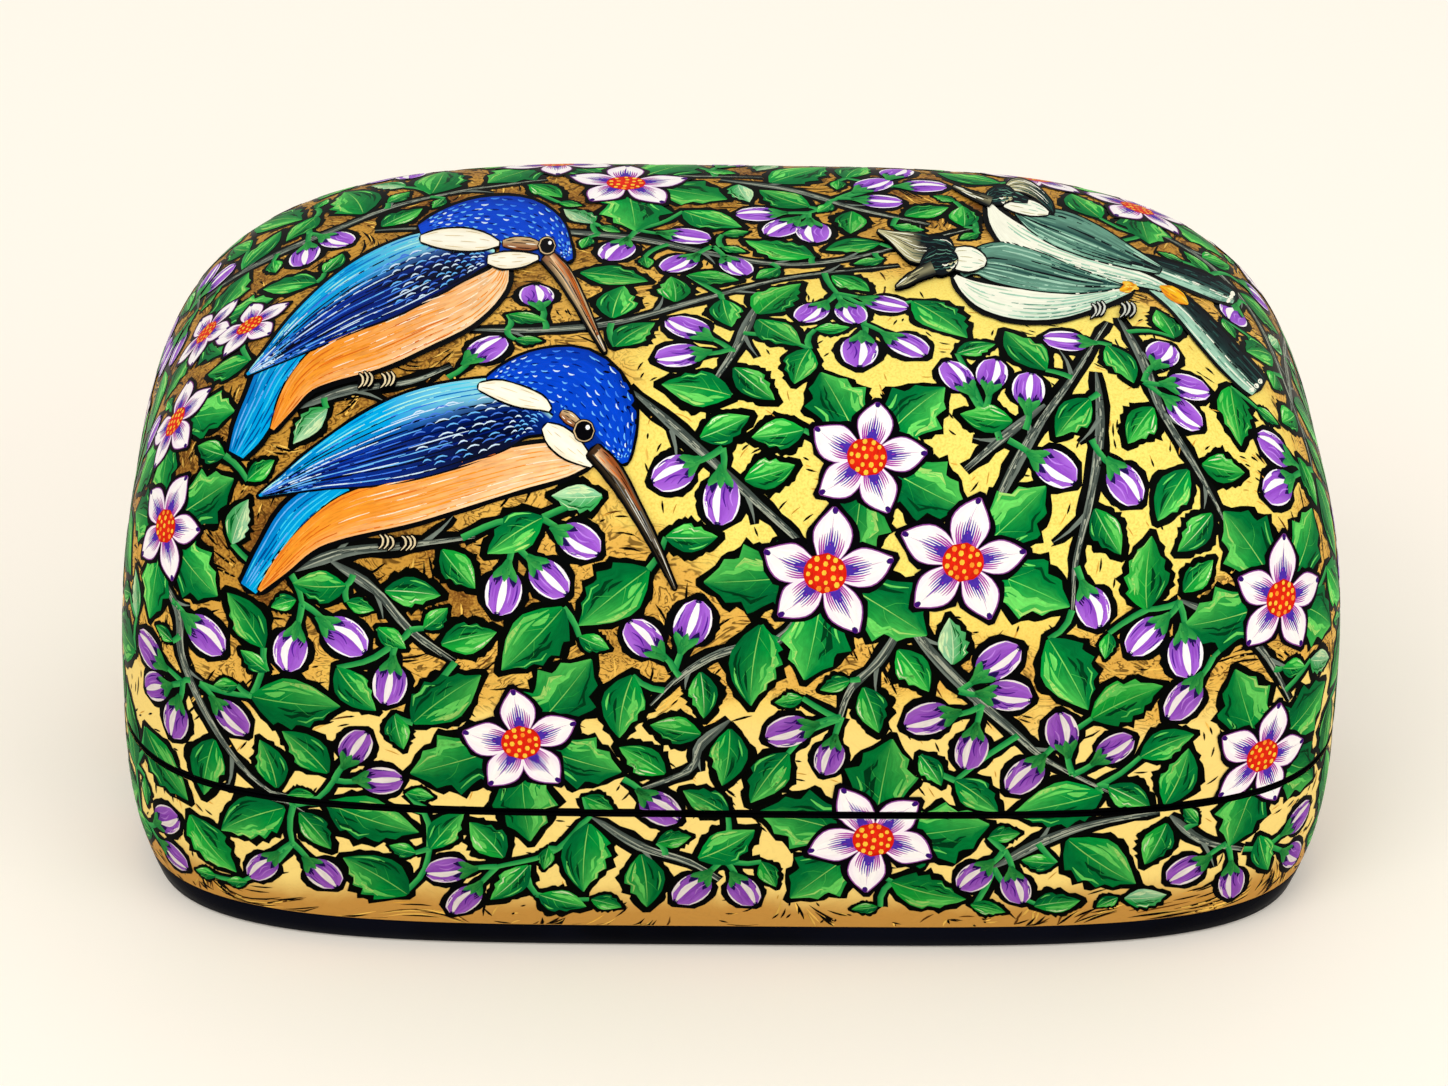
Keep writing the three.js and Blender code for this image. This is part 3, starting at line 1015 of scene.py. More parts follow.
class BudPainter(Painter):
    """Draws buds: purple eggs with white bands in a green cup."""

    length = 6.7 * MM
    half = 2.85 * MM
    outline = 1.2 * MM
    cup_outline = 0.9 * MM
    purple = srgb(150, 76, 204)
    deep = srgb(84, 28, 152)
    bright = srgb(192, 130, 238)
    white = srgb(252, 248, 250)
    navy = srgb(34, 18, 84)
    green = srgb(24, 132, 62)
    light_green = srgb(76, 178, 82)

    def draw(self) -> Stencil:
        """Draws one bud from its cup at the origin to its tip along x."""
        t = np.linspace(0.0, 1.0, 13)
        swell = self.half * arch(t**0.92, 0.14, 0.78) ** 0.55
        swell[-1] = self.half * 0.22
        line = np.stack([self.length * t, 0.03 * self.length * arch(t)], axis=-1)
        body = Ribbon(line, swell * self.rng.uniform(0.9, 1.05), swell)
        self.lay(Paint.OUTLINE, body.grown(self.outline, self.rng, 0.22), (11, 5), INK)
        self.lay(Paint.BUD, body, (9, 5), self.purples)
        self.bands(body)
        self.cup()
        return self.drawn

    def purples(self, along: Array, across: Array) -> Array:
        """Colours the bud, deep at its cup and bright at both sides."""
        base = blend(self.purple, self.bright, 0.55 * np.abs(across))
        return blend(self.deep, base, 0.25 + 1.6 * along)

    def bands(self, body: Ribbon) -> None:
        """Adds the white bands, the pale rim and the dark marks at the cup of a bud's body."""
        rng = self.rng
        s = np.linspace(0, 1, 6)
        lean = rng.uniform(-0.4, 0.4)
        bow = lean * arch(s, 0.1, 0.8)

        def stripe(rows: int, columns: int, tone: Colour, along: tuple[float, float],
                   middle: Array | float, half: Array) -> None:
            """Lays one stripe of so many rows and columns along the body."""
            self.lay(Paint.BUD_STRIPE, body, (rows, columns), tone, along, middle, half)

        for side in (-1, 1):
            rim = (0.11 if side * lean > 0 else 0.05) * arch(s, 0.05, 0.9) + 0.01
            stripe(6, 2, self.white, (0.2, 0.99), side * (1.0 - rim), rim)
            for place in (0.38, 0.56, 0.74):
                tone = (self.deep, self.bright, self.purple)[rng.integers(3)]
                start = rng.uniform(0.1, 0.35)
                stripe(6, 2, tone, (start, start + rng.uniform(0.35, 0.55)),
                       np.clip(bow + side * place, -0.88, 0.88), 0.018 + 0.03 * arch(s))
            stripe(3, 2, self.navy, (0.06, 0.3), side * 0.52, np.array([0.26, 0.20, 0.02]))
        stripe(6, 3, self.white, (0.1, 0.97), bow, 0.20 * arch(s, 0.14, 0.66) + 0.02)
        stripe(3, 2, self.navy, (0.94, 1.0), 0.5 * lean, np.array([0.2, 0.5, 0.6]))

    def cup(self) -> None:
        """Adds the green cup with its three pointed lobes."""
        tone = lambda along, across: blend(self.green, self.light_green, 0.5 * along + 0.4 * across)
        for turn, reach in ((-1.05, 2.1), (1.05, 2.1), (0.0, 1.3)):
            x, y = compass(turn) * reach
            knots = ((-2.2, 0, 0.4), (-0.7, y * 0.25, 0.62), (x * 0.3, y * 0.75, 0.56), (x, y, 0.05))
            self.lay(Paint.CALYX, Ribbon.through(np.array(knots) * MM, 9), (5, 3), tone)
        root = Ribbon.through(np.array(((-2.8, 0, 0.4), (-1.0, 0, 0.9), (0.6, 0, 1.3))) * MM, 7)
        self.lay(Paint.OUTLINE, root.grown(self.cup_outline, self.rng), (6, 3), INK)


class FlowerPainter(Painter):
    """Draws flowers: five cream petals with violet strokes round a red heart with yellow dots."""

    petals = 5
    inner = 1.2 * MM
    outer = 10.1 * MM
    half = 2.85 * MM
    heart = 3.1 * MM
    outline = 1.05 * MM
    rim_reach = 0.17 * MM
    hair = 0.0015 * MM
    swell = ((0, 0.15, 0.34, 0.52, 0.66, 0.8, 0.91, 1.0),
             (0.36, 0.60, 0.90, 1.0, 0.90, 0.62, 0.30, 0.03))
    black = srgb(6, 5, 8)
    cream = srgb(253, 249, 246)
    blush = srgb(244, 226, 244)
    violet = srgb(76, 46, 168)
    magenta = srgb(170, 58, 168)
    rim = srgb(142, 70, 150)
    tip = srgb(58, 18, 110)
    red = srgb(228, 40, 18)
    dark_red = srgb(186, 16, 10)
    yellow = srgb(252, 196, 60)
    orange = srgb(252, 148, 44)

    def draw(self) -> Stencil:
        """Draws one flower round the origin, with a petal along x."""
        for number in range(self.petals):
            turn = 2 * math.pi * number / self.petals + self.rng.uniform(-0.07, 0.07)
            self.petal(turn, number * self.hair)
        self.middle()
        return self.drawn

    def petal(self, turn: float, rise: float) -> None:
        """Draws one petal.

        Args:
            turn: The petal's direction.
            rise: How far it lies above the first one.
        """
        rng = self.rng
        t = np.linspace(0.0, 1.0, 25)
        outer = self.outer * rng.uniform(0.92, 1.04)
        radius = self.inner + (outer - self.inner) * t
        sway = rng.uniform(-0.5, 0.5) * MM * arch(t)
        way = compass(turn)
        line = radius[:, None] * way + sway[:, None] * np.array([-way[1], way[0]])
        half = self.half * rng.uniform(0.93, 1.05) * np.interp(t, *self.swell)
        body = Ribbon(line, half, half * rng.uniform(0.93, 1.05))
        rim = Ribbon(line + way * 0.1 * MM, body.left + self.rim_reach, body.right + self.rim_reach)
        tone = lambda along, across: blend(self.cream, self.blush, 1.2 * np.abs(across) - 0.55)
        self.lay(Paint.FLOWER_OUTLINE, body.grown(self.outline, rng), (11, 5), self.black)
        self.lay(Paint.PETAL_RIM, rim, (12, 5), self.rim, rise=rise)
        self.lay(Paint.PETAL, body, (12, 5), tone, rise=rise)
        self.strokes(body)

    def strokes(self, body: Ribbon) -> None:
        """Adds a petal's violet strokes from the heart, its midline and its dark tip."""
        rng = self.rng
        s = np.linspace(0, 1, 5)
        self.lay(Paint.PETAL_LINE, body, (4, 3), self.violet, (0.12, 0.44), 0.0,
                 np.array([0.60, 0.44, 0.22, 0.03]))
        for place in np.linspace(-0.78, 0.78, 11):
            far = 0.42 + 0.26 * (1 - abs(place)) * rng.uniform(0.6, 1.3)
            colour = self.violet if abs(place) < 0.4 else self.magenta
            self.lay(Paint.PETAL_LINE, body, (5, 2), colour, (0.10, far),
                     place * (1.0 - 0.15 * s), 0.075 * (1.0 - s) ** 0.8 + 0.008)
        self.lay(Paint.PETAL_LINE, body, (5, 2), self.magenta, (0.2, 0.86), 0.06 * arch(s),
                 0.030 * (1.15 - s))
        spot = body.at(np.array([0.945]), np.array([rng.uniform(-0.5, 0.5)]))[0]
        way = unit(body.line[-1] - body.line[-4]) * 0.5 * MM
        half = np.array([0.2, 0.5, 0.25]) * MM
        dot = Ribbon(np.stack([spot - way, spot, spot + way]), half, half)
        self.lay(Paint.PETAL_LINE, dot, (4, 3), self.tip)

    def middle(self) -> None:
        """Adds the red heart and its dots."""
        rng = self.rng
        tone = lambda along, across: blend(self.red, self.dark_red,
                                           (2 * along - 1) ** 2 * 0.5 + across**2 * 0.4)
        disc = Ribbon.disc((0, 0), self.heart, 0.03 * self.heart, 11)
        self.lay(Paint.HEART, disc, (9, 7), tone)
        for count, radius in ((11, 0.80), (6, 0.46), (1, 0.05)):
            first = rng.uniform(0, 2 * math.pi)
            for number in range(count):
                turn = first + 2 * math.pi * number / count + rng.uniform(-0.1, 0.1)
                size = rng.uniform(0.30, 0.42) * MM
                ends = np.array([[-size, 0.0], [0.0, 0.0], [size, 0.0]])
                width = np.array([0.55, 1.0, 0.55]) * size
                colour = self.yellow if rng.uniform() < 0.7 else self.orange
                dot = Ribbon(ends + compass(turn) * radius * self.heart, width, width)
                self.lay(Paint.DOT, dot, (3, 3), colour)


class Painting:
    """The painted surface: prints stencils on the box and makes the coats."""

    blocking = (Coat.LEAVES, Coat.BUDS, Coat.FLOWERS, Coat.BIRDS)
    brush_shift = 90.0
    sheet_margin = 0.06
    edge = srgb(5, 6, 5)

    def __init__(self, form: BoxForm, view: PhotoView, rng: np.random.Generator) -> None:
        """Starts with a bare box."""
        self.form = form
        self.view = view
        self.rng = rng
        self.room = Room(form)
        self.layers = {coat: Layer() for coat in Coat}

    def stand(self, spot: Array, towards: Array) -> Place:
        """Makes a place at a point near the box's face, from which a motif points at another."""
        (settled,), (facing,) = self.form.settle(spot[None])
        way = towards - settled
        return Place(settled, unit(way - facing * (way @ facing)), facing)

    def seen(self, pixel: Sequence[float], turn: float) -> Place:
        """Makes a place at a pixel, turned so many degrees clockwise from the right."""
        ends = np.array([pixel, np.array(pixel) + compass(math.radians(turn)) * 3.0])
        return self.stand(*self.view.land(ends))

    def spots(self, place: Place, flat: Array) -> Array:
        """Carries a motif's flat points onto the box."""
        return self.form.settle(place.carry(flat))[0]

    def print(self, stencil: Stencil, place: Place | None, scale: float = 1.0,
              flip: bool = False, tone_and_shade: float | Array = 1.0) -> None:
        """Prints a stencil and takes the room of its bodies.

        Args:
            stencil: The motif.
            place: Where it goes, or nothing if it is drawn in the photograph's pixels.
            scale: Its size.
            flip: Whether it is turned over.
            tone_and_shade: How bright it is; for leaves and buds it carries painted shade below the
                lid's turn.
        """
        mirror = np.array([1.0, -1.0 if flip else 1.0])
        body = np.concatenate([patch.points for patch in stencil])
        low, high = body.min(0), body.max(0)
        for patch in stencil:
            if place is None:
                points = spots = self.view.land(patch.points)
            else:
                points = place.carry(patch.points * mirror * scale)
            faces = patch.faces[:, ::-1] if flip or place is None else patch.faces
            brush = patch.brush * scale + self.rng.uniform(0, self.brush_shift, 2)
            # Scales the colours, which paints shade on leaves and buds low on the box.
            self.layers[patch.coat].take(points, patch.lift, faces, patch.colours * tone_and_shade, brush,
                                         (patch.points - low) / (high - low).max())
            if patch.coat in self.blocking:
                if place is not None:
                    spots = self.form.settle(points, 3)[0]
                self.room.mark(spots, patch.faces)

    def trail(self, knots: Array, widths: Sequence[float], paint: Paint, shade: Shade | Colour,
              step: float = 2.0 * MM, outline: float = 0.0, aside: float = 0.0,
              columns: int = 3) -> Array:
        """Paints a line that runs over the box, such as a twig or a stem.

        Args:
            knots: Points near the box that the line runs through.
            widths: Its half widths, evenly spaced from its start to its end.
            paint: The kind of brushwork.
            shade: Its colour.
            step: How far apart its rows of points are.
            outline: How far a dark edge stands out, or 0 for none.
            aside: How far it lies to the left of the knots.
            columns: How many points each row has.

        Returns:
            The line's points.
        """
        length = np.linalg.norm(np.diff(knots, axis=0), axis=-1).sum()
        rows = max(4, int(length / step) + 1)
        line, facing = self.form.settle(smooth_through(knots, rows))
        side = unit(np.cross(facing, unit(np.gradient(line, axis=0))))
        line = line + side * aside
        half = np.interp(np.linspace(0, 1, rows), np.linspace(0, 1, len(widths)), widths)[:, None]
        strips = [(paint, half * np.linspace(-1, 1, columns), shade)]
        if outline:
            reach = half + outline * self.rng.uniform(0.6, 1.35, (rows, 3))
            strips.insert(0, (Paint.OUTLINE, reach * np.linspace(-1, 1, 3), self.edge))
        for kind, reach, tones in strips:
            coat, lift = kind.value
            along = np.linspace(0, 1, rows)[:, None] * np.ones(reach.shape[1])
            across = np.broadcast_to(np.linspace(-1, 1, reach.shape[1]), reach.shape)
            brush = np.stack([reach, along * length], axis=-1).reshape(-1, 2) / MM
            points = (line[:, None] + side[:, None] * reach[..., None]).reshape(-1, 3)
            self.layers[coat].take(points, lift, grid_faces(*reach.shape),
                                   colours_of(tones, along, across),
                                   brush + self.rng.uniform(0, self.brush_shift, 2),
                                   self._cell(*reach.shape))
        return line

    def scatter(self, lines: Array, half: float, colour: Colour, rise: float) -> None:
        """Paints many small tapered strokes of one colour on the bare ground.

        Args:
            lines: Four points for each stroke.
            half: Half of a stroke's greatest width.
            colour: The strokes' colour.
            rise: How far they lie above the lowest ones.
        """
        count = len(lines)
        sides = np.cross(self.form.settle(lines, 1)[1], unit(np.gradient(lines, axis=1)))
        reach = half * np.array([0.15, 1.0, 0.85, 0.1])[:, None] * np.array([-1.0, 1.0])
        points = lines[:, :, None] + sides[:, :, None] * reach[..., None]
        faces = grid_faces(4, 2) + 8 * np.arange(count)[:, None, None]
        colours = np.array(colour) * self.rng.uniform(0.75, 1.2, (count, 1, 1)) * np.ones((8, 1))
        run = np.linalg.norm(lines[:, -1] - lines[:, 0], axis=-1)
        along = np.linspace(0, 1, 4)[:, None] * run[:, None, None] * np.ones(2)
        brush = np.stack([np.broadcast_to(reach, along.shape), along], axis=-1) / MM
        brush = brush + self.rng.uniform(0, self.brush_shift, (count, 1, 1, 2))
        coat, lift = Paint.GROUND.value
        self.layers[coat].take(points.reshape(-1, 3), lift + rise, faces.reshape(-1, 4),
                               colours.reshape(-1, 3), brush.reshape(-1, 2),
                               np.tile(self._cell(4, 2), (count, 1)))

    @staticmethod
    def _cell(rows: int, columns: int) -> Array:
        """Gives a grid's points their places in a unit square."""
        down, across = np.meshgrid(np.linspace(0, 1, rows), np.linspace(0, 0.3, columns),
                                   indexing="ij")
        return np.stack([down.ravel(), across.ravel()], axis=-1)

    def make(self, coat: Coat, part: "Part") -> bpy.types.Object | None:
        """Makes the piece that one coat forms on the lid or on the tray.

        Args:
            coat: The coat.
            part: The lid or the tray.

        Returns:
            The piece, or nothing if the coat is empty there.
        """
        motifs = self.layers[coat].motifs
        if not motifs:
            return None
        points, lifts, faces, colours, brush, cells = map(np.concatenate, zip(*motifs))
        points = self.form.settle(points)[0]
        low, high = part.painted
        heights = points[:, 2][faces]
        used, faces = np.unique(faces[((heights > low) & (heights < high)).any(axis=1)],
                                return_inverse=True)
        if not len(used):
            return None
        points = points[used]
        points[:, 2] = np.clip(points[:, 2], low, high)
        points, facing = self.form.settle(points)
        points = points + facing * lifts[used][:, None]
        mesh = bpy.data.meshes.new(f"{part.value}_{coat.value}")
        mesh.from_pydata(points.tolist(), [], faces.reshape(-1, 4).tolist())
        mesh.shade_smooth()
        paint = mesh.color_attributes.new("Paint", "FLOAT_COLOR", "POINT")
        flat = np.concatenate([np.clip(colours[used], 0, 1), np.ones((len(used), 1))], axis=1)
        paint.data.foreach_set("color", flat.astype(np.float32).ravel())
        side = math.ceil(math.sqrt(len(motifs)))
        home = np.stack([cells[:, 2] % side, cells[:, 2] // side], axis=-1)
        sheet = (home + self.sheet_margin + (1 - 2 * self.sheet_margin) * cells[:, :2]) / side
        for name, places in (("Brush", brush), ("OFBake", sheet)):
            corners = places[used][faces.ravel()].astype(np.float32).ravel()
            mesh.uv_layers.new(name=name).uv.foreach_set("vector", corners)
        mesh.normals_split_custom_set_from_vertices(facing.tolist())
        piece = bpy.data.objects.new(mesh.name, mesh)
        bpy.context.scene.collection.objects.link(piece)
        return piece


class Part(Enum):
    """The two painted halves of the box."""

    LID = "lid"
    TRAY = "base"

    @property
    def painted(self) -> tuple[float, float]:
        """The lowest and highest place that carries paint."""
        if self is Part.LID:
            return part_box("lid_shell")[0][2] - 0.1 * MM, 1.0
        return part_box("base_shell")[0][2] + 0.15 * MM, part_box("base_shell")[1][2] + 0.12 * MM


@dataclass(frozen=True)
class KingfisherPose:
    """A kingfisher's parts as knots in the photograph's pixels, each with a half width."""

    tail: tuple
    belly: tuple
    wing: tuple
    head: tuple
    face: tuple
    nape_patch: tuple
    cheek_patch: tuple
    lore: tuple
    beak: tuple
    gape: tuple
    eye: tuple[float, float, float]
    toes: tuple[float, float]
    pale_beak: float


UPPER_KINGFISHER = KingfisherPose(
    tail=((304, 346, 14), (280, 373, 20), (264, 403, 18), (249, 433, 15), (237, 455, 8)),
    belly=((505, 264, 4), (494, 284, 14), (463, 307, 21), (425, 323, 24), (375, 345, 25),
           (330, 363, 20), (303, 382, 13), (287, 405, 9), (273, 430, 2)),
    wing=((494, 258, 6), (468, 256, 22), (430, 265, 32), (385, 285, 34), (345, 306, 29),
          (305, 333, 20), (275, 356, 10), (248, 376, 1)),
    head=((420, 232, 5), (445, 224, 12), (480, 220, 20), (520, 225, 26), (548, 238, 22),
          (564, 252, 9), (570, 262, 3)),
    face=((500, 250, 4), (520, 252, 7), (540, 254, 9), (560, 262, 5)),
    nape_patch=((421, 241, 3), (440, 241, 9), (465, 242, 11), (485, 244, 8), (499, 246, 2)),
    cheek_patch=((488, 262, 4), (503, 263, 8), (522, 262, 7), (538, 260, 2)),
    lore=((503, 246, 3), (515, 246, 6), (530, 247, 6), (539, 248, 3)),
    beak=((546, 258, 6), (563, 276, 7.5), (580, 305, 5.5), (594, 333, 3), (605, 354, 1)),
    gape=((552, 258, 3), (568, 278, 4), (584, 310, 2), (598, 338, 1)),
    eye=(547, 249, 7.5),
    toes=(378, 383),
    pale_beak=0.8,
)
LOWER_KINGFISHER = KingfisherPose(
    tail=((345, 484, 13), (303, 516, 20), (274, 553, 16), (249, 588, 9)),
    belly=((592, 460, 5), (565, 460, 17), (520, 468, 21), (465, 483, 23), (405, 500, 24),
           (350, 515, 21), (310, 537, 13), (282, 565, 9), (260, 590, 2)),
    wing=((552, 425, 10), (520, 412, 30), (470, 421, 40), (415, 436, 42), (365, 453, 34),
          (318, 470, 20), (285, 485, 9), (260, 496, 1)),
    head=((488, 384, 5), (508, 380, 15), (540, 378, 27), (578, 388, 38), (605, 418, 34),
          (620, 450, 14), (625, 463, 3)),
    face=((552, 418, 6), (570, 432, 13), (590, 446, 12), (602, 462, 5)),
    nape_patch=((479, 388, 3), (498, 391, 9), (520, 398, 10), (540, 404, 7), (550, 411, 2)),
    cheek_patch=((545, 427, 4), (555, 436, 11), (570, 448, 12), (584, 459, 7), (592, 466, 2)),
    lore=((561, 414, 3), (569, 419, 6), (579, 426, 4)),
    beak=((592, 450, 8), (612, 471, 9), (632, 503, 6.5), (655, 545, 4), (675, 588, 1)),
    gape=((598, 452, 5), (610, 464, 6), (624, 482, 3), (640, 510, 1)),
    eye=(584, 432, 9.5),
    toes=(398, 541),
    pale_beak=0.15,
)


@dataclass(frozen=True)
class TitPose:
    """A long-tailed grey bird's parts as knots in the photograph's pixels."""

    tail: tuple
    under: tuple
    wing: tuple
    crest: tuple
    hood: tuple
    face: tuple
    collar: tuple
    beak: tuple
    vents: tuple
    toes: tuple[tuple[float, float], ...]


UPPER_TIT = TitPose(
    tail=((1138, 262, 6), (1165, 271, 9), (1195, 282, 10), (1220, 293, 9), (1234, 300, 5)),
    under=((989, 205, 2), (998, 222, 9), (1018, 241, 14), (1050, 256, 13), (1095, 270, 10),
           (1140, 281, 7), (1168, 291, 3)),
    wing=((1016, 214, 2), (1033, 221, 11), (1062, 231, 18), (1098, 246, 16), (1130, 260, 10),
          (1160, 272, 4)),
    crest=((1006, 190, 2), (1014, 187, 6), (1026, 189, 6), (1038, 196, 5), (1048, 206, 4),
           (1053, 215, 1)),
    hood=((1002, 197, 4), (1014, 199, 6), (1028, 203, 3)),
    face=((986, 203, 3), (993, 199, 8), (1004, 197, 9), (1013, 198, 5)),
    collar=((1004, 206, 3), (1016, 207, 7), (1034, 211, 7), (1048, 215, 2)),
    beak=((991, 204, 5), (972, 197, 3), (953, 189, 1)),
    vents=(((1122, 284, 1), (1129, 287, 3.5), (1138, 291, 1)),),
    toes=(),
)
LOWER_TIT = TitPose(
    tail=((1150, 286, 5), (1176, 303, 9), (1202, 329, 12), (1228, 358, 13), (1249, 380, 12),
          (1258, 389, 10)),
    under=((955, 278, 2), (968, 289, 8), (988, 299, 13), (1020, 306, 15), (1058, 307, 13),
           (1095, 300, 9), (1130, 291, 3)),
    wing=((962, 277, 3), (974, 265, 12), (998, 264, 20), (1035, 273, 19), (1072, 282, 13),
          (1100, 286, 7), (1122, 288, 1)),
    crest=((878, 234, 1), (892, 240, 5), (905, 246, 11), (917, 251, 15), (930, 252, 13),
           (944, 249, 9), (952, 252, 3)),
    hood=((926, 246, 4), (938, 248, 7), (948, 251, 6), (955, 254, 2)),
    face=((921, 269, 3), (930, 266, 11), (941, 264, 14), (951, 263, 11), (957, 262, 4)),
    collar=((949, 262, 6), (957, 262, 11), (970, 263, 12), (980, 265, 8), (985, 267, 3)),
    beak=((933, 271, 7), (918, 278, 5), (906, 285, 4), (896, 291, 1)),
    vents=(((1119, 292, 1), (1127, 290, 5), (1136, 287, 1)),
           ((1159, 288, 1), (1168, 293, 6), (1179, 300, 6), (1187, 306, 1))),
    toes=((1097, 312), (1126, 312)),
)


class BirdPainter(Painter):
    """Draws a bird in the photograph's pixels, part over part, with feather strokes."""

    unit_size = 1 / 0.167
    outline = 5.0
    step = 0.017 * MM
    touch = 0.002 * MM
    outline_room = 0.025 * MM
    ink = srgb(5, 6, 8)

    def __init__(self, rng: np.random.Generator) -> None:
        """Starts with no parts and no rows of strokes."""
        super().__init__(rng)
        self.level = 0
        self.touches = 0

    def part(self, knots: tuple, shade: Shade | Colour, rows: int, columns: int,
             outline: float = outline) -> Ribbon:
        """Lays one part of the bird over the parts before it.

        Args:
            knots: The part's knots.
            shade: Its colouring.
            rows: How many rows of points it gets.
            columns: How many columns.
            outline: How far its dark edge stands out.

        Returns:
            The part's shape.
        """
        shape = Ribbon.through(knots)
        self.lay(Paint.BIRD_OUTLINE, shape.grown(outline, self.rng, 0.18), (rows + 2, columns + 2),
                 self.ink, rise=min(self.level * self.step, self.outline_room))
        self.top(shape, (rows, columns), shade)
        self.touches = 0
        return shape

    def top(self, shape: Ribbon, size: tuple[int, int], shade: Shade | Colour) -> None:
        """Lays a shape of so many rows and columns on top of everything before it."""
        self.level += 1
        self.lay(Paint.BIRD, shape, size, shade, rise=self.level * self.step)

    def rim(self, knots: tuple, reach: float = 1.9) -> None:
        """Lays a thin black edge for the next part on top of the parts before it."""
        self.top(Ribbon.through(knots).grown(reach, self.rng, 0.25), (34, 9), self.ink)

    def hatch(self, shape: Ribbon, along: tuple[float, float], across: tuple[float, float],
              counts: tuple[int, int], length: float, half: float, tones: Sequence[Colour],
              bow: float = 0.0) -> None:
        """Adds rows of small strokes, laid like bricks.

        Args:
            shape: The part that they lie on.
            along: Where the rows start and end on it.
            across: How far they spread across it.
            counts: How many strokes there are along and across.
            length: How long a stroke is, as a share of the part.
            half: Half a stroke's width in pixels.
            tones: The colours to choose from.
            bow: How far a stroke bows sideways.
        """
        rng = self.rng
        self.touches += 1
        rise = (self.level + 1) * self.step + self.touches * self.touch
        s = np.linspace(0, 1, 4)
        marks = np.linspace(0, 1, len(shape.left))
        pace = (along[1] - along[0]) / counts[0]
        gap = (across[1] - across[0]) / max(1, counts[1] - 1)
        for row, lane in np.ndindex(*counts):
            start = along[0] + pace * (row + 0.5 * (lane % 2)) + rng.uniform(-0.2, 0.2) * pace
            middle = across[0] + gap * lane + rng.uniform(-0.18, 0.18) * gap
            end = min(start + length * rng.uniform(0.75, 1.25), 0.985)
            if end - start < 0.01 or start < 0.01:
                continue
            width = np.interp((start + end) / 2, marks, shape.left)
            line = np.clip(middle + bow * arch(s), -0.93, 0.93)
            self.lay(Paint.BIRD, shape, (4, 2), tones[rng.integers(len(tones))], (start, end), line,
                     half / max(width, 3.0) * arch(s, 0.14, 0.76), rise)

    def claws(self, spot: tuple[float, float], steps: Sequence[float], tone: Colour) -> None:
        """Lays feet in a row on a twig, each a dark knot with three thin hooked toes.

        Args:
            spot: The pixel of the row's middle.
            steps: How far each foot lies to the right of it, in pixels.
            tone: The toes' colour.
        """
        y = spot[1]
        for x in (spot[0] + step for step in steps):
            self.rim(((x - 6, y + 3, 1.2), (x, y, 4.0), (x + 6, y + 2, 1.2)), 1.8)
            for root in (-4.5, 0.5, 5.0):
                lean = self.rng.uniform(-1.5, 1.5)
                toe = ((x + root - 1, y - 7 + lean, 0.5), (x + root + 2.2, y - 3, 1.0),
                       (x + root + 1.6 + lean, y + 3, 0.9), (x + root - 2, y + 7 + lean, 0.3))
                self.rim(toe, 1.3)
                self.part(toe, tone, 7, 3, 1.2)


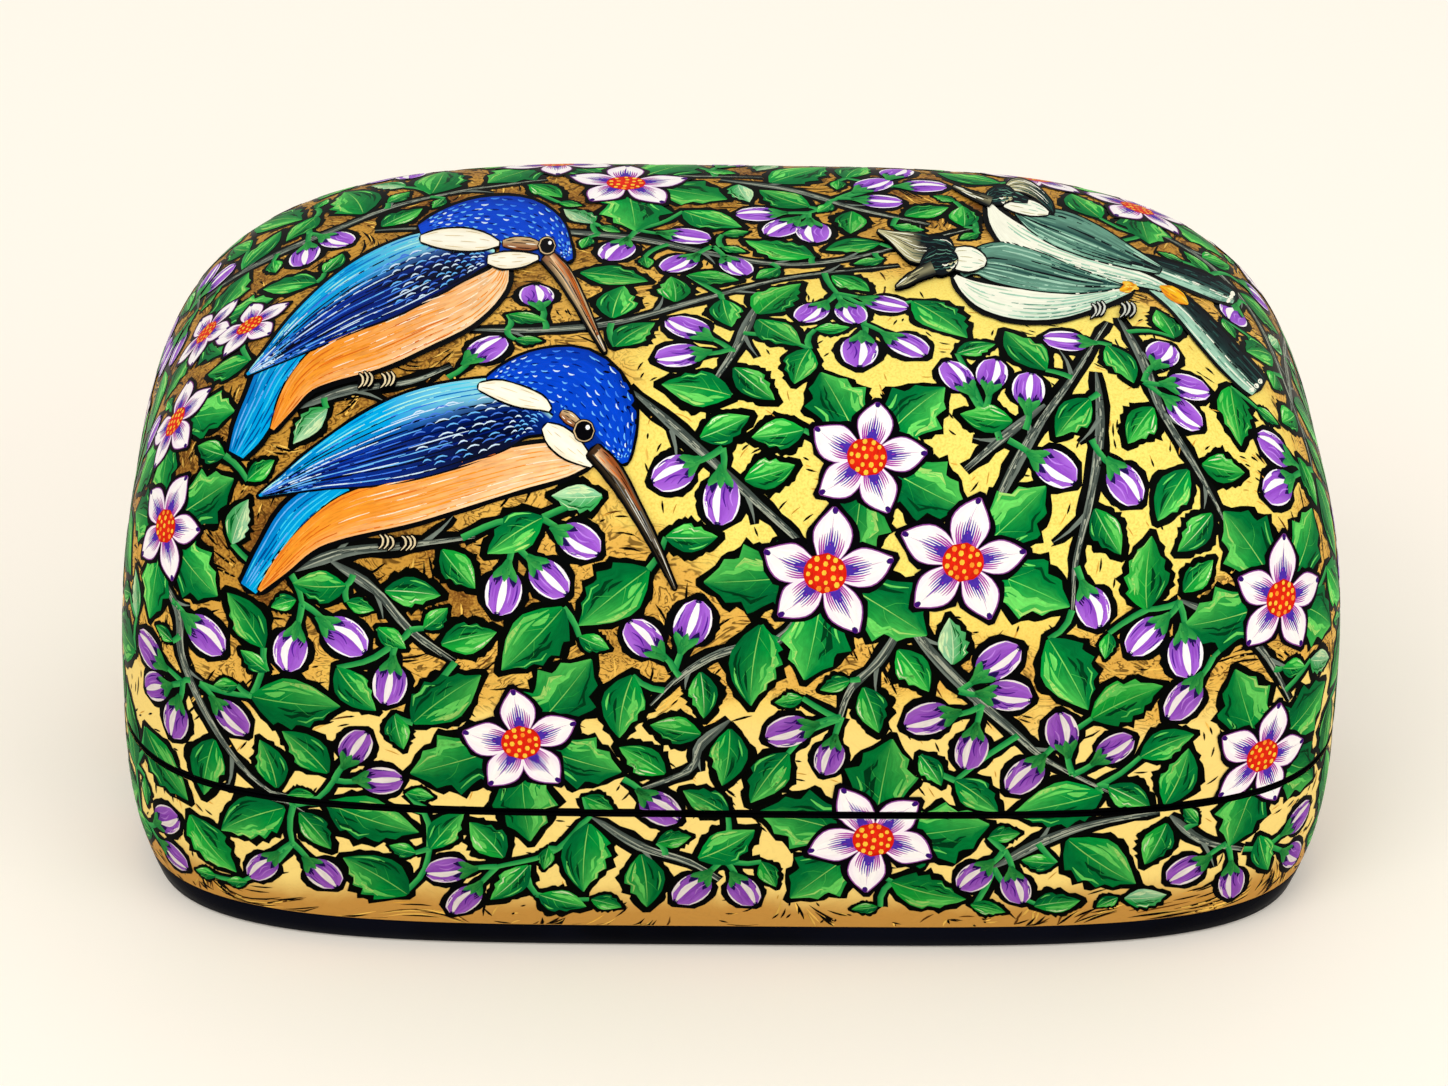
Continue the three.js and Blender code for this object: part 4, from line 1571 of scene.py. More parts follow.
class KingfisherPainter(BirdPainter):
    """Draws a kingfisher: blue cap and wing, cyan back and tail, orange belly, long beak."""

    royal = srgb(6, 68, 206)
    deep = srgb(0, 26, 116)
    navy = srgb(2, 5, 22)
    cyan = srgb(0, 166, 228)
    turquoise = srgb(168, 236, 228)
    sky = srgb(104, 182, 246)
    pale = srgb(206, 230, 250)
    orange = srgb(246, 152, 44)
    rust = srgb(222, 112, 28)
    peach = srgb(252, 214, 164)
    cream = srgb(254, 250, 232)
    brown = srgb(142, 74, 34)
    horn = srgb(206, 178, 132)
    dark = srgb(14, 10, 8)

    def draw(self, pose: KingfisherPose) -> Stencil:
        """Draws the bird in a pose, from its tail to its toes."""
        tail = self.part(pose.tail, lambda a, c: blend(self.cyan, srgb(4, 96, 186), 0.7 * c + 0.1),
                         20, 9)
        self.hatch(tail, (0.05, 0.9), (-0.75, 0.75), (5, 7), 0.22, 0.7,
                   (self.sky, srgb(0, 70, 150), srgb(60, 206, 240)))
        self.rim(pose.belly)
        belly = self.part(pose.belly, self.breast, 36, 10)
        self.hatch(belly, (0.03, 0.6), (-0.85, 0.8), (12, 8), 0.07, 0.6,
                   (srgb(255, 232, 200), self.orange, srgb(250, 180, 110)))
        self.hatch(belly, (0.3, 0.95), (-0.85, 0.85), (8, 7), 0.11, 0.7,
                   (self.rust, srgb(255, 166, 70), self.orange))
        self.rim(pose.wing)
        wing = self.part(pose.wing, self.feathers, 30, 12, 3.5)
        self.hatch(wing, (0.05, 0.92), (0.62, 0.92), (10, 4), 0.10, 0.7,
                   (self.turquoise, srgb(0, 120, 200), srgb(70, 206, 236)))
        self.hatch(wing, (0.1, 0.9), (-0.88, 0.3), (6, 9), 0.12, 0.9, (self.navy, self.deep))
        self.hatch(wing, (0.05, 0.42), (-0.82, 0.45), (9, 9), 0.03, 0.85,
                   (self.sky, self.pale, srgb(70, 120, 220)), 0.05)
        self.hatch(wing, (0.3, 0.92), (-0.88, 0.6), (6, 10), 0.16, 0.65,
                   (self.sky, self.pale, srgb(60, 120, 230), self.navy))
        self.rim(pose.head)
        head = self.part(pose.head, lambda a, c: blend(self.royal, self.deep, 1.1 * abs(c) - 0.6),
                         22, 10, 3.5)
        self.hatch(head, (0.08, 0.93), (-0.88, 0.88), (15, 9), 0.026, 0.85,
                   (self.sky, self.sky, self.pale, srgb(60, 130, 236)), 0.03)
        self.hatch(head, (0.08, 0.93), (-0.82, 0.94), (10, 6), 0.03, 0.7, (self.deep,))
        self.level += 1
        self.part(pose.face, lambda a, c: blend(self.royal, self.navy, 0.3 + 0.4 * a), 8, 4, 1.0)
        self.patches(pose)
        self.bill(pose)
        self.eye(*pose.eye)
        self.claws(pose.toes, (-12, 10), srgb(226, 208, 166))
        return self.drawn

    def breast(self, along: Array, across: Array) -> Array:
        """Colours the belly, pale at the throat and the underside."""
        pale = np.clip(1.1 - 1.9 * along, 0, 1) * 0.9
        pale = pale + np.clip(-across - 0.25, 0, 1) * np.clip(1.25 - along, 0, 1) * 0.9
        colour = blend(self.orange, self.peach, pale)
        return blend(colour, self.rust, np.clip(across - 0.5, 0, 1) * along * 0.8)

    def feathers(self, along: Array, across: Array) -> Array:
        """Colours the wing, cyan along the back and nearly black at the shoulder."""
        back = np.clip((across - 0.30 + 0.25 * along) * 3.0, 0, 1)
        blue = blend(self.royal, self.deep, np.clip(0.35 - across * 0.5, 0, 1) * 0.8)
        shoulder = np.clip(1.15 - 2.2 * np.abs(along - 0.24), 0, 1) * np.clip(0.9 - across, 0, 1)
        blue = blend(blue, self.navy, shoulder * 0.95)
        light = blend(self.cyan, self.turquoise, np.clip(1.3 - 2.7 * along, 0, 1))
        return blend(blend(blue, light, back), self.cyan, np.clip(along * 3 - 2.1, 0, 0.8))

    def patches(self, pose: KingfisherPose) -> None:
        """Lays the cream patches and the pale spot before the eye."""
        tone = lambda a, c: blend(self.cream, srgb(240, 226, 190), np.clip(abs(c) * 1.2 - 0.5, 0, 1))
        for knots in (pose.nape_patch, pose.cheek_patch):
            self.rim(knots)
            shape = self.part(knots, tone, 12, 5, 0.8)
            self.hatch(shape, (0.1, 0.8), (-0.7, 0.7), (2, 4), 0.16, 0.4, (srgb(226, 206, 160),))
        self.rim(pose.lore, 1.2)
        lore = self.part(pose.lore, lambda a, c: blend(self.horn, self.brown, 0.5 + 0.6 * c),
                         7, 4, 0.6)
        self.hatch(lore, (0.1, 0.8), (-0.6, 0.6), (2, 3), 0.3, 0.5, (self.cream, self.navy))

    def bill(self, pose: KingfisherPose) -> None:
        """Lays the beak with its pale root and streaks."""
        low = blend(self.brown, self.dark, 1 - pose.pale_beak)
        high = blend(self.dark, self.horn, pose.pale_beak)
        tone = lambda a, c: blend(blend(low, high, a * 3.2 + 0.2), self.dark,
                                  c * 1.4 - pose.pale_beak)
        self.rim(pose.beak, 2.2)
        beak = self.part(pose.beak, tone, 22, 5, 2.4)
        self.hatch(beak, (0.05, 0.92), (-0.5, 0.3), (4, 3), 0.26, 0.5,
                   (srgb(214, 216, 206), srgb(120, 124, 124), self.ink))
        self.hatch(beak, (0.1, 0.9), (-0.4, 0.5), (3, 3), 0.3, 0.5,
                   (blend(self.ink, self.peach, pose.pale_beak), self.ink))
        self.level += 1
        root = self.part(pose.gape, lambda a, c: blend(self.peach, self.brown, 0.55 - c * 0.6 + a),
                         8, 4, 0.5)
        self.hatch(root, (0.1, 0.7), (-0.6, 0.6), (2, 3), 0.25, 0.5, (self.rust, self.dark))

    def eye(self, x: float, y: float, radius: float) -> None:
        """Lays the eye as round dots: its black edge, its pale ring, the pupil and the glint."""
        for spot, reach, colour in (((x, y), radius + 2.2, self.ink), ((x, y), radius + 1.1, self.horn),
                                    ((x + 0.3, y), radius, srgb(6, 5, 8)),
                                    ((x + radius * 0.4, y - radius * 0.35), radius * 0.24,
                                     srgb(255, 255, 255))):
            self.top(Ribbon.disc(spot, reach, 0.05, 9), (9, 5), colour)


class TitPainter(BirdPainter):
    """Draws a grey-green bird with a pale underside, a dark face and a long tail."""

    cream = srgb(250, 250, 230)
    mint = srgb(164, 210, 184)
    sage = srgb(104, 156, 134)
    slate = srgb(36, 78, 72)
    dark = srgb(8, 18, 24)
    tan = srgb(198, 192, 146)
    yellow = srgb(248, 190, 30)

    def draw(self, pose: TitPose) -> Stencil:
        """Draws the bird in a pose, from its tail to its beak."""
        self.tail(pose)
        self.rim(pose.under, 1.5)
        under = self.part(pose.under, lambda a, c: blend(self.cream, self.mint,
                          0.9 * a - 0.42 + np.clip(c, 0, 1) * 0.35), 22, 6)
        self.hatch(under, (0.1, 0.95), (-0.8, 0.8), (5, 7), 0.2, 0.8,
                   (self.mint, self.cream, self.cream, srgb(196, 226, 196)))
        self.hatch(under, (0.45, 0.95), (0.0, 0.85), (4, 4), 0.2, 0.7, (self.sage, self.mint))
        self.rim(pose.wing, 1.3)
        wing = self.part(pose.wing, self.feathers, 22, 8, 2.0)
        self.hatch(wing, (0.03, 0.95), (-0.85, 0.85), (4, 9), 0.30, 0.9,
                   (self.slate, self.sage, self.mint, self.dark))
        self.hatch(wing, (0.03, 0.6), (0.1, 0.9), (3, 4), 0.25, 0.8, (self.mint, self.sage))
        for knots in pose.vents:
            vent = self.part(knots, lambda a, c: blend(self.yellow, srgb(236, 140, 20), c), 7, 4, 0.5)
            self.hatch(vent, (0.05, 0.9), (-0.8, 0.8), (2, 4), 0.3, 0.7,
                       (srgb(255, 218, 90), srgb(226, 130, 20)))
        for spot in pose.toes:
            self.claws(spot, (0,), srgb(206, 208, 196))
        self.front(pose)
        return self.drawn

    def feathers(self, along: Array, across: Array) -> Array:
        """Colours the wing in bands of grey-green."""
        wave = 0.5 + 0.5 * np.sin(across * 4.0 + along * 3.0)
        body = blend(self.sage, self.slate, wave * 0.9)
        return blend(body, self.dark, np.clip(along * 1.8 - 1.1, 0, 1))

    def tail(self, pose: TitPose) -> None:
        """Lays the long tail, dark with a pale edge and a pale notched end."""
        tone = lambda a, c: blend(blend(self.slate, self.dark, 0.6 - 0.5 * c), self.mint,
                                  np.clip((c + 0.15 - 0.5 * a) * 4.0, 0, 1))
        tail = self.part(pose.tail, tone, 18, 9, 3.0)
        self.hatch(tail, (0.02, 0.9), (-0.85, 0.15), (3, 6), 0.45, 0.6,
                   (self.slate, self.dark, self.ink))
        self.hatch(tail, (0.02, 0.9), (0.2, 0.9), (3, 5), 0.4, 0.6,
                   (self.cream, self.sage, self.mint))
        self.hatch(tail, (0.88, 0.9), (-0.6, 0.7), (1, 3), 0.085, 2.4, (self.cream,))

    def front(self, pose: TitPose) -> None:
        """Lays the head: crest, hood, face, collar and beak."""
        self.rim(pose.collar)
        collar = self.part(pose.collar, self.cream, 9, 5, 1.0)
        self.hatch(collar, (0.2, 0.9), (-0.7, 0.7), (2, 4), 0.25, 0.4, (self.mint, self.tan))
        self.rim(pose.crest, 1.4)
        crest = self.part(pose.crest, lambda a, c: blend(self.tan, self.dark, 3.4 * a - 1.0 - 0.5 * c),
                          14, 7, 2.0)
        self.hatch(crest, (0.05, 0.9), (-0.85, 0.85), (3, 9), 0.32, 0.4,
                   (self.dark, self.slate, self.cream))
        hood = self.part(pose.hood, self.dark, 8, 4, 1.5)
        self.hatch(hood, (0.1, 0.9), (-0.7, 0.7), (2, 3), 0.3, 0.5, (self.sage, self.slate))
        self.rim(pose.face, 1.2)
        face = self.part(pose.face, self.dark, 9, 6, 1.5)
        self.hatch(face, (0.08, 0.85), (-0.8, 0.6), (4, 6), 0.22, 0.45, (self.slate, self.sage), 0.1)
        self.hatch(face, (0.5, 0.95), (0.35, 0.75), (3, 2), 0.14, 0.9, (self.cream, self.tan), 0.12)
        self.rim(pose.beak, 1.6)
        beak = self.part(pose.beak, lambda a, c: blend(self.tan, self.dark, 0.5 + abs(c) * 0.6), 9,
                         5, 1.5)
        self.hatch(beak, (0.04, 0.85), (-0.6, 0.6), (2, 4), 0.36, 0.6,
                   (self.cream, self.tan, self.ink))


GRASS_GREEN = srgb(24, 172, 58)
LEAF_GREEN = srgb(4, 152, 60)
MINT_GREEN = srgb(146, 206, 160)
PALE_GREEN = srgb(208, 234, 178)

LEAF_KINDS = {
    "large": LeafKind(14.5, 8.6, 0.14, (Margin.TOOTHED, Margin.SMOOTH)),
    "bright": LeafKind(12.5, 7.4, -0.16, (Margin.NOTCHED, Margin.TOOTHED), GRASS_GREEN),
    "middle": LeafKind(10.8, 6.4, 0.16, (Margin.NOTCHED, Margin.SMOOTH)),
    "small": LeafKind(8.6, 5.2, 0.10, (Margin.SMOOTH, Margin.NOTCHED), GRASS_GREEN, PALE_GREEN),
    "pale": LeafKind(9.6, 5.6, 0.12, (Margin.SMOOTH, Margin.TOOTHED), MINT_GREEN, PALE_GREEN,
                     LEAF_GREEN, PALE_GREEN),
    "lobed": LeafKind(16.0, 11.8, 0.06, (Margin.LOBED, Margin.LOBED)),
}

FRONT_FLOWERS = (
    (207, 333, -50, 0.80), (250, 326, -80, 0.78), (176, 422, -75, 0.88), (166, 526, -72, 0.90),
    (626, 184, -86, 1.04), (1137, 209, -160, 1.0), (867, 457, -76, 1.0), (825, 573, -82, 1.08),
    (963, 562, -78, 1.04), (1281, 598, -84, 1.02), (1262, 755, -70, 0.98), (521, 742, -96, 1.0),
    (873, 839, 98, 1.06),
)
BACK_FLOWERS = (
    (-62, 60, 58, 20), (-14, 61, 40, 80), (38, 60, 66, 140), (76, 56, 44, 30), (-88, 40, 76, 60),
    (-30, 40, 97, 10), (52, 38, 95, 75), (101, 14, 62, 100), (100, -8, 34, 35), (-101, 12, 60, 15),
    (-100, 30, 36, 90), (-52, 60, 15, 12), (30, 60, 16, 84), (100, 18, 15, 50), (-100, -14, 17, 33),
    (94, 34, 84, 70),
)
FRONT_TWIGS = (
    ((205, 300), (262, 262), (330, 232), (400, 205), (470, 190), (548, 180)),
    ((300, 408), (350, 390), (410, 382), (452, 366)),
    ((470, 330), (540, 330), (620, 322), (700, 300), (790, 278), (900, 266)),
    ((760, 300), (735, 350), (712, 385)),
    ((290, 572), (345, 552), (410, 545), (475, 536)),
    ((330, 560), (375, 590), (410, 630), (455, 662)),
    ((628, 388), (680, 432), (735, 482), (785, 528), (820, 560)),
    ((812, 600), (778, 640), (722, 652), (680, 676), (650, 705)),
    ((985, 535), (1003, 490), (1036, 430), (1072, 378), (1108, 322)),
    ((1118, 318), (1142, 360), (1162, 412), (1196, 468), (1228, 528)),
    ((1096, 372), (1100, 430), (1090, 500), (1076, 560), (1072, 610)),
    ((1045, 405), (1000, 440), (965, 470)),
    ((895, 600), (925, 645), (965, 688), (1010, 728), (1050, 762), (1110, 792)),
    ((905, 620), (880, 660), (850, 690), (835, 730)),
    ((730, 720), (700, 745), (690, 770), (640, 790)),
    ((155, 560), (178, 610), (182, 655), (210, 720), (250, 775), (305, 812)),
    ((590, 815), (640, 846), (690, 862), (720, 880)),
    ((990, 868), (1045, 840), (1100, 822), (1160, 812)),
    ((1170, 815), (1200, 840), (1240, 850)),
    ((720, 180), (790, 190), (860, 210), (930, 225)),
    ((1150, 230), (1215, 270), (1262, 330), (1290, 400), (1312, 470)),
    ((1180, 600), (1225, 620), (1262, 650), (1290, 700)),
)
BACK_TWIGS = (
    ((-90, 45, 30), (-70, 58, 48), (-40, 61, 55), (-5, 61, 66), (30, 58, 84)),
    ((20, 61, 34), (48, 61, 50), (72, 58, 62), (88, 46, 80)),
    ((-60, 60, 75), (-52, 50, 92), (-30, 32, 98), (5, 30, 99)),
    ((20, 48, 94), (50, 44, 93), (78, 34, 88)),
    ((101, -25, 45), (101, 0, 50), (101, 20, 42), (97, 40, 52)),
    ((95, -20, 84), (98, 5, 82), (96, 25, 74)),
    ((-101, 30, 45), (-101, 5, 42), (-100, -15, 60), (-96, -25, 80)),
    ((-94, 10, 86), (-92, 30, 82), (-80, 46, 80)),
    ((-80, 55, 15), (-45, 60, 20), (-10, 60, 13), (25, 60, 21), (60, 60, 15)),
    ((99, -30, 15), (100, -5, 21), (100, 25, 13)),
    ((-99, 30, 14), (-100, 5, 20), (-100, -25, 13)),
    ((-60, 10, 98), (-20, 5, 99), (10, -5, 99), (40, 10, 99)),
)
FRONT_BUDS = (
    (336, 238), (494, 188), (536, 300), (652, 246), (690, 345), (785, 226), (866, 190), (848, 312),
    (880, 345), (962, 384), (1010, 396), (972, 206), (1076, 330), (1014, 480), (1128, 458),
    (1180, 384), (1284, 476), (700, 482), (575, 506), (372, 572), (520, 580), (318, 640),
    (368, 668), (202, 600), (160, 690), (205, 720), (650, 640), (620, 690), (812, 742), (365, 760),
    (845, 748), (1072, 606), (1165, 640), (1190, 690), (995, 672), (950, 730), (1090, 742),
    (1045, 776), (655, 800), (172, 840), (300, 876), (470, 885), (718, 890), (985, 880),
    (1200, 874), (458, 350), (1215, 292), (1290, 840),
)
BACK_BUDS = (
    (-76, 56, 40), (-40, 61, 42), (-25, 61, 72), (10, 61, 52), (58, 60, 60), (88, 48, 60),
    (-75, 48, 88), (-45, 25, 98), (-5, 40, 97), (30, 30, 98), (72, 30, 92), (101, -20, 60),
    (101, 25, 50), (99, 30, 70), (-101, -5, 50), (-101, 20, 72), (-97, -20, 70), (-72, 58, 18),
    (-15, 60, 20), (50, 60, 19), (80, 55, 15), (101, 0, 20), (-101, 15, 16), (101, 5, 78),
    (-5, -5, 99), (60, 5, 97), (-90, 15, 88), (20, 61, 22), (-35, 60, 70), (90, 20, 88),
    (-58, 59, 60), (-20, 61, 33), (34, 61, 40), (70, 57, 74), (4, 52, 90), (-60, 40, 94),
    (-101, -8, 32), (101, 4, 38), (-98, 6, 80), (100, 18, 64), (-84, 52, 62), (44, 60, 72),
)


@dataclass(frozen=True)
class GroundStroke:
    """A kind of stroke on bare ground: its colour, its sizes in millimetres and how common it is."""

    colour: Colour
    length: float
    half: float
    on_gold: float
    on_brown: float


GROUND_STROKES = (
    GroundStroke(srgb(98, 60, 21), 4.6, 0.17, 0.0, 0.45),
    GroundStroke(srgb(238, 190, 88), 3.8, 0.17, 0.0, 0.72),
    GroundStroke(srgb(220, 162, 60), 2.0, 0.10, 0.16, 0.0),
    GroundStroke(srgb(8, 6, 4), 5.0, 0.21, 0.0, 0.42),
    GroundStroke(srgb(8, 6, 4), 1.9, 0.17, 0.26, 0.2),
)


class Garden:
    """Lays the painting out: birds, flowers, twigs, buds and then leaves wherever there is room."""

    tries = 22000
    ground_tries = 26000
    ground_step = 0.003 * MM
    ground_rounds = 3
    slant = np.array([0.31, 0.17, 0.94])
    leaf_stencils = 5
    bud_stencils = 6
    flower_stencils = 5
    petals = 5
    flower_leaves = 4
    flower_heart = 2.6 * MM
    flower_leaf = (14.5 * MM, 4.2 * MM)
    bud_size = (7.0 * MM, 2.6 * MM)
    bud_stalk = 6.5 * MM
    bud_reach = (4.4 * MM, 6.0 * MM)
    bud_turns = ((-0.5, 0.5), (-0.82, 0.0, 0.82))
    triples = (0.3, 0.62)
    near_twig = 1.0 * MM
    far_twig = 6.0 * MM
    spur_gap = 7
    spur_reach = (3.5 * MM, 7.5 * MM)
    turns = 12
    lowest = 8.3 * MM
    stalk = 1.6 * MM
    stem_gaps = (1.5 * MM, 13.0 * MM)
    fillings = (("large", 1.0, 0.0), ("bright", 1.0, 0.0), ("middle", 1.0, 0.0),
                ("middle", 0.84, 0.1), ("small", 0.95, 0.35), ("pale", 0.8, 0.6),
                ("small", 0.78, 0.7), ("small", 0.62, 0.92), ("small", 0.5, 0.96))
    girth = (0.28, 0.75, 1.0, 0.95, 0.88, 0.78, 0.66, 0.5, 0.3, 0.05)
    twig_half = 0.82 * MM
    grain_half = (0.02 * MM, 0.10 * MM, 0.09 * MM, 0.01 * MM)
    spur_half = (0.42 * MM, 0.32 * MM, 0.17 * MM, 0.03 * MM)
    stem_half = (0.55 * MM, 0.42 * MM)
    node_gap = 4.0 * MM
    bark = srgb(112, 123, 113)
    bark_dark = srgb(58, 68, 63)
    bark_light = srgb(166, 172, 153)
    stem_green = srgb(6, 122, 60)
    stem_light = srgb(64, 176, 86)
    # Painted shade: greens and purples below the lid's turn are darkened by this factor.
    low_painted_shade = 0.86
    low_line = 47.0 * MM
    low_open = 0.6
    # Painted shade on buds below the lid's turn: powers of the leaves' factor, strongest in blue.
    bud_painted_shade = np.array([1.9, 2.3, 2.7])

    def __init__(self, painting: Painting) -> None:
        """Draws the stencils that are printed later."""
        self.painting = painting
        self.form = painting.form
        self.rng = painting.rng
        self.leaves = {name: [LeafPainter(self.rng).draw(kind) for _ in range(self.leaf_stencils)]
                       for name, kind in LEAF_KINDS.items()}
        self.buds = [BudPainter(self.rng).draw() for _ in range(self.bud_stencils)]
        self.flowers = [FlowerPainter(self.rng).draw() for _ in range(self.flower_stencils)]
        self.nodes: list[Array] = []
        self.runs: list[tuple[Array, Array]] = []
        self.planted = 0

    def plant(self) -> None:
        """Paints everything in order."""
        for pose in (UPPER_KINGFISHER, LOWER_KINGFISHER):
            self.painting.print(KingfisherPainter(self.rng).draw(pose), None)
        for pose in (LOWER_TIT, UPPER_TIT):
            self.painting.print(TitPainter(self.rng).draw(pose), None)
        self.plant_flowers()
        self.plant_twigs()
        self.plant_buds()
        self.leaf_the_runs()
        self.fill_gaps()
        self.brush_ground()
        log.info("leaves painted: %d", self.planted)

    def _on_box(self, spot: Sequence[float], turn: float) -> Place:
        """Makes a place from a spot in millimetres and a turn from the upward direction."""
        point = np.array(spot, float) * MM
        up = self.painting.stand(point, point + np.array([0.3, 0.2, 1.0]))
        return Place(up.spot, up.way(math.radians(turn)), up.facing)

    def plant_flowers(self) -> None:
        """Prints the flowers, each on a few lobed leaves."""
        places = [(self.painting.seen((x, y), turn), scale) for x, y, turn, scale in FRONT_FLOWERS]
        places += [(self._on_box(spot, turn), 1.0) for *spot, turn in BACK_FLOWERS]
        for number, (place, scale) in enumerate(places):
            kept = 0
            for gap in self.rng.permutation(self.petals):
                angle = 2 * math.pi * (gap + 0.5) / self.petals + self.rng.uniform(-0.15, 0.15)
                way = place.way(angle)
                start = self._settled(place.spot + way * self.flower_heart * scale)
                leaf = self.painting.stand(start, start + way)
                length, half = self.flower_leaf
                ahead = self._feelers(leaf, length * scale, half * scale, 0.55)
                if self.painting.room.free(ahead).mean() < 0.99 or kept == self.flower_leaves:
                    continue
                self._leaf("lobed", leaf, scale * self.rng.uniform(0.88, 1.02))
                kept += 1
            self.painting.print(self.flowers[number % len(self.flowers)], place, scale)
            self.nodes.append(place.spot)

    def _settled(self, spot: Array) -> Array:
        """Brings one point onto the box."""
        return self.form.settle(spot[None])[0][0]

    def _feelers(self, place: Place, length: float, half: float, start: float) -> Array:
        """Gives the points at which a leaf or bud needs room."""
        return self.painting.spots(place, self._reach(length, half, start))

    @staticmethod
    def _reach(length: float, half: float, start: float) -> Array:
        """Gives flat points along a leaf's middle and both its edges."""
        along = np.linspace(start, 1.06, 6)
        wide = half * np.sin(np.pi * np.clip(along, 0, 0.92) ** 0.8) ** 0.8
        flat = [np.stack([along * length, side * wide], axis=-1) for side in (-1, 0, 1)]
        return np.concatenate(flat)

    def _plan(self, starts: Array, headings: Array, kind: str, scale: float,
              start: float) -> list[tuple[Place, Array]]:
        """Works out for many leaves at once how they would lie.

        Args:
            starts: Where their stalks start.
            headings: The directions in which they point.
            kind: Their kind.
            scale: Their size.
            start: How far along a leaf its own room begins.

        Returns:
            Each leaf's place and the points at which it needs room.
        """
        sizes = LEAF_KINDS[kind]
        flat = self._reach(sizes.length * scale * MM, sizes.width * 0.47 * scale * MM, start)
        spots, facing = self.form.settle(starts, 3)
        ways = unit(headings - facing * (headings * facing).sum(-1, keepdims=True))
        sides = np.cross(facing, ways)
        points = spots[:, None] + flat[:, :1] * ways[:, None] + flat[:, 1:] * sides[:, None]
        points = self.form.settle(points, 2)[0]
        return [(Place(*parts), feel) for *parts, feel in zip(spots, ways, facing, points)]

    def _has_room(self, feelers: Array) -> bool:
        """Says whether a leaf's points are free and above the foot."""
        return feelers[:, 2].min() > self.lowest and bool(self.painting.room.free(feelers).all())

    def _leaf(self, kind: str, place: Place, scale: float) -> None:
        """Prints one leaf of a kind and keeps its stalk as a node."""
        stencils = self.leaves[kind]
        stencil = stencils[self.rng.integers(len(stencils))]
        # Its own tone, darkened by painted shade below the lid's turn.
        tone_and_shade = self.rng.uniform(0.86, 1.12) * self._painted_shade(place)
        self.painting.print(stencil, place, scale, bool(self.rng.integers(2)), tone_and_shade)
        self.nodes.append(place.spot)
        self.planted += 1

    def _painted_shade(self, place: Place) -> float:
        """Gives the painted shade below the lid's turn: how much darker the greens and purples are made
        there.
        """
        return float(np.interp(place.spot[2], (46 * MM, 60 * MM), (self.low_painted_shade, 1.0)))

    def plant_twigs(self) -> None:
        """Paints the grey twigs with their streaks and spurs."""
        lines = [self.painting.view.land(np.array(pixels, float)) for pixels in FRONT_TWIGS]
        lines += [self.form.settle(np.array(spots, float) * MM)[0] for spots in BACK_TWIGS]
        tone = lambda a, c: blend(self.bark, self.bark_dark, 0.5 + 0.5 * c)
        for knots in lines:
            half = self.twig_half * np.array(self.girth) * self.rng.uniform(0.8, 1.2, len(self.girth))
            line = self.painting.trail(knots, half, Paint.TWIG, tone, outline=1.0 * MM)
            self._grain(line, half)
            self._spurs(line)
            self.painting.room.mark(line)
            self._keep_run(line)

    def _grain(self, line: Array, half: Array) -> None:
        """Streaks a twig's bark with light and dark strokes."""
        rng = self.rng
        reach = np.interp(np.linspace(0, 1, len(line)), np.linspace(0, 1, len(half)), half)
        for start in range(1, len(line) - 3):
            for colour in (self.bark_light, self.bark_dark):
                stroke = line[start:start + rng.integers(4, 8)]
                aside = rng.uniform(-0.75, 0.75) * reach[start]
                self.painting.trail(stroke, self.grain_half, Paint.TWIG_GRAIN, colour, 3.5 * MM,
                                    aside=aside, columns=2)

    def _spurs(self, line: Array) -> None:
        """Adds short pointed side twigs."""
        for start in range(4, len(line) - 4, self.spur_gap):
            run = unit(line[start + 1] - line[start - 1])
            facing = self.form.settle(line[start][None])[1][0]
            turn = self.rng.uniform(0.45, 0.9) * self.rng.choice((-1, 1))
            way = swing(run, np.cross(facing, run), turn)
            reach = self.rng.uniform(*self.spur_reach)
            knots = np.stack([line[start], line[start] + (way + run * 0.15) * reach * 0.5,
                              line[start] + way * reach])
            self.painting.trail(knots, self.spur_half, Paint.SPUR, self.bark, 1.5 * MM,
                                outline=0.7 * MM)

    def _keep_run(self, line: Array) -> None:
        """Remembers points of a twig or stem from which leaves can grow."""
        step = max(1, int(self.node_gap / (2.0 * MM)))
        ways = unit(np.gradient(line, axis=0))
        for spot, way in zip(line[::step], ways[::step]):
            self.nodes.append(spot)
            self.runs.append((spot, way))

    def _nearest(self, spot: Array) -> tuple[Array, float]:
        """Finds the nearest node and how far it is."""
        nodes = np.array(self.nodes)
        gaps = np.linalg.norm(nodes - spot, axis=-1)
        best = int(gaps.argmin())
        return nodes[best], float(gaps[best])

    def _stem(self, start: Array, end: Array, bow: float) -> Array:
        """Paints a green stem between two points, bowed sideways."""
        middle = (start + end) / 2
        facing = self.form.settle(middle[None])[1][0]
        side = np.cross(facing, end - start)
        knots = np.stack([start, middle + side * bow, end])
        tone = lambda a, c: blend(self.stem_green, self.stem_light, 0.5 + 0.5 * c)
        return self.painting.trail(knots, self.stem_half, Paint.STEM, tone, outline=0.8 * MM)

    def plant_buds(self) -> None:
        """Paints the bud clusters, each on stems from the nearest twig."""
        spots = list(self.painting.view.land(np.array(FRONT_BUDS, float)))
        spots += list(self.form.settle(np.array(BACK_BUDS, float) * MM)[0])
        for spot in spots:
            root, gap = self._nearest(spot)
            if gap < self.near_twig:
                root = spot + self.rng.normal(0, self.far_twig, 3)
            place = self.painting.stand(spot, spot + (spot - root))
            join = self._settled(place.carry(np.array([-self.bud_stalk, 0.0])))
            if gap > self.far_twig:
                self._keep_run(self._stem(root, join, self.rng.uniform(-0.2, 0.2)))
            triples = self.triples[int(spot[2] >= self.low_line)]
            for turn in self.bud_turns[int(self.rng.uniform() < triples)]:
                self._bud(place, join, turn + self.rng.uniform(-0.15, 0.15))

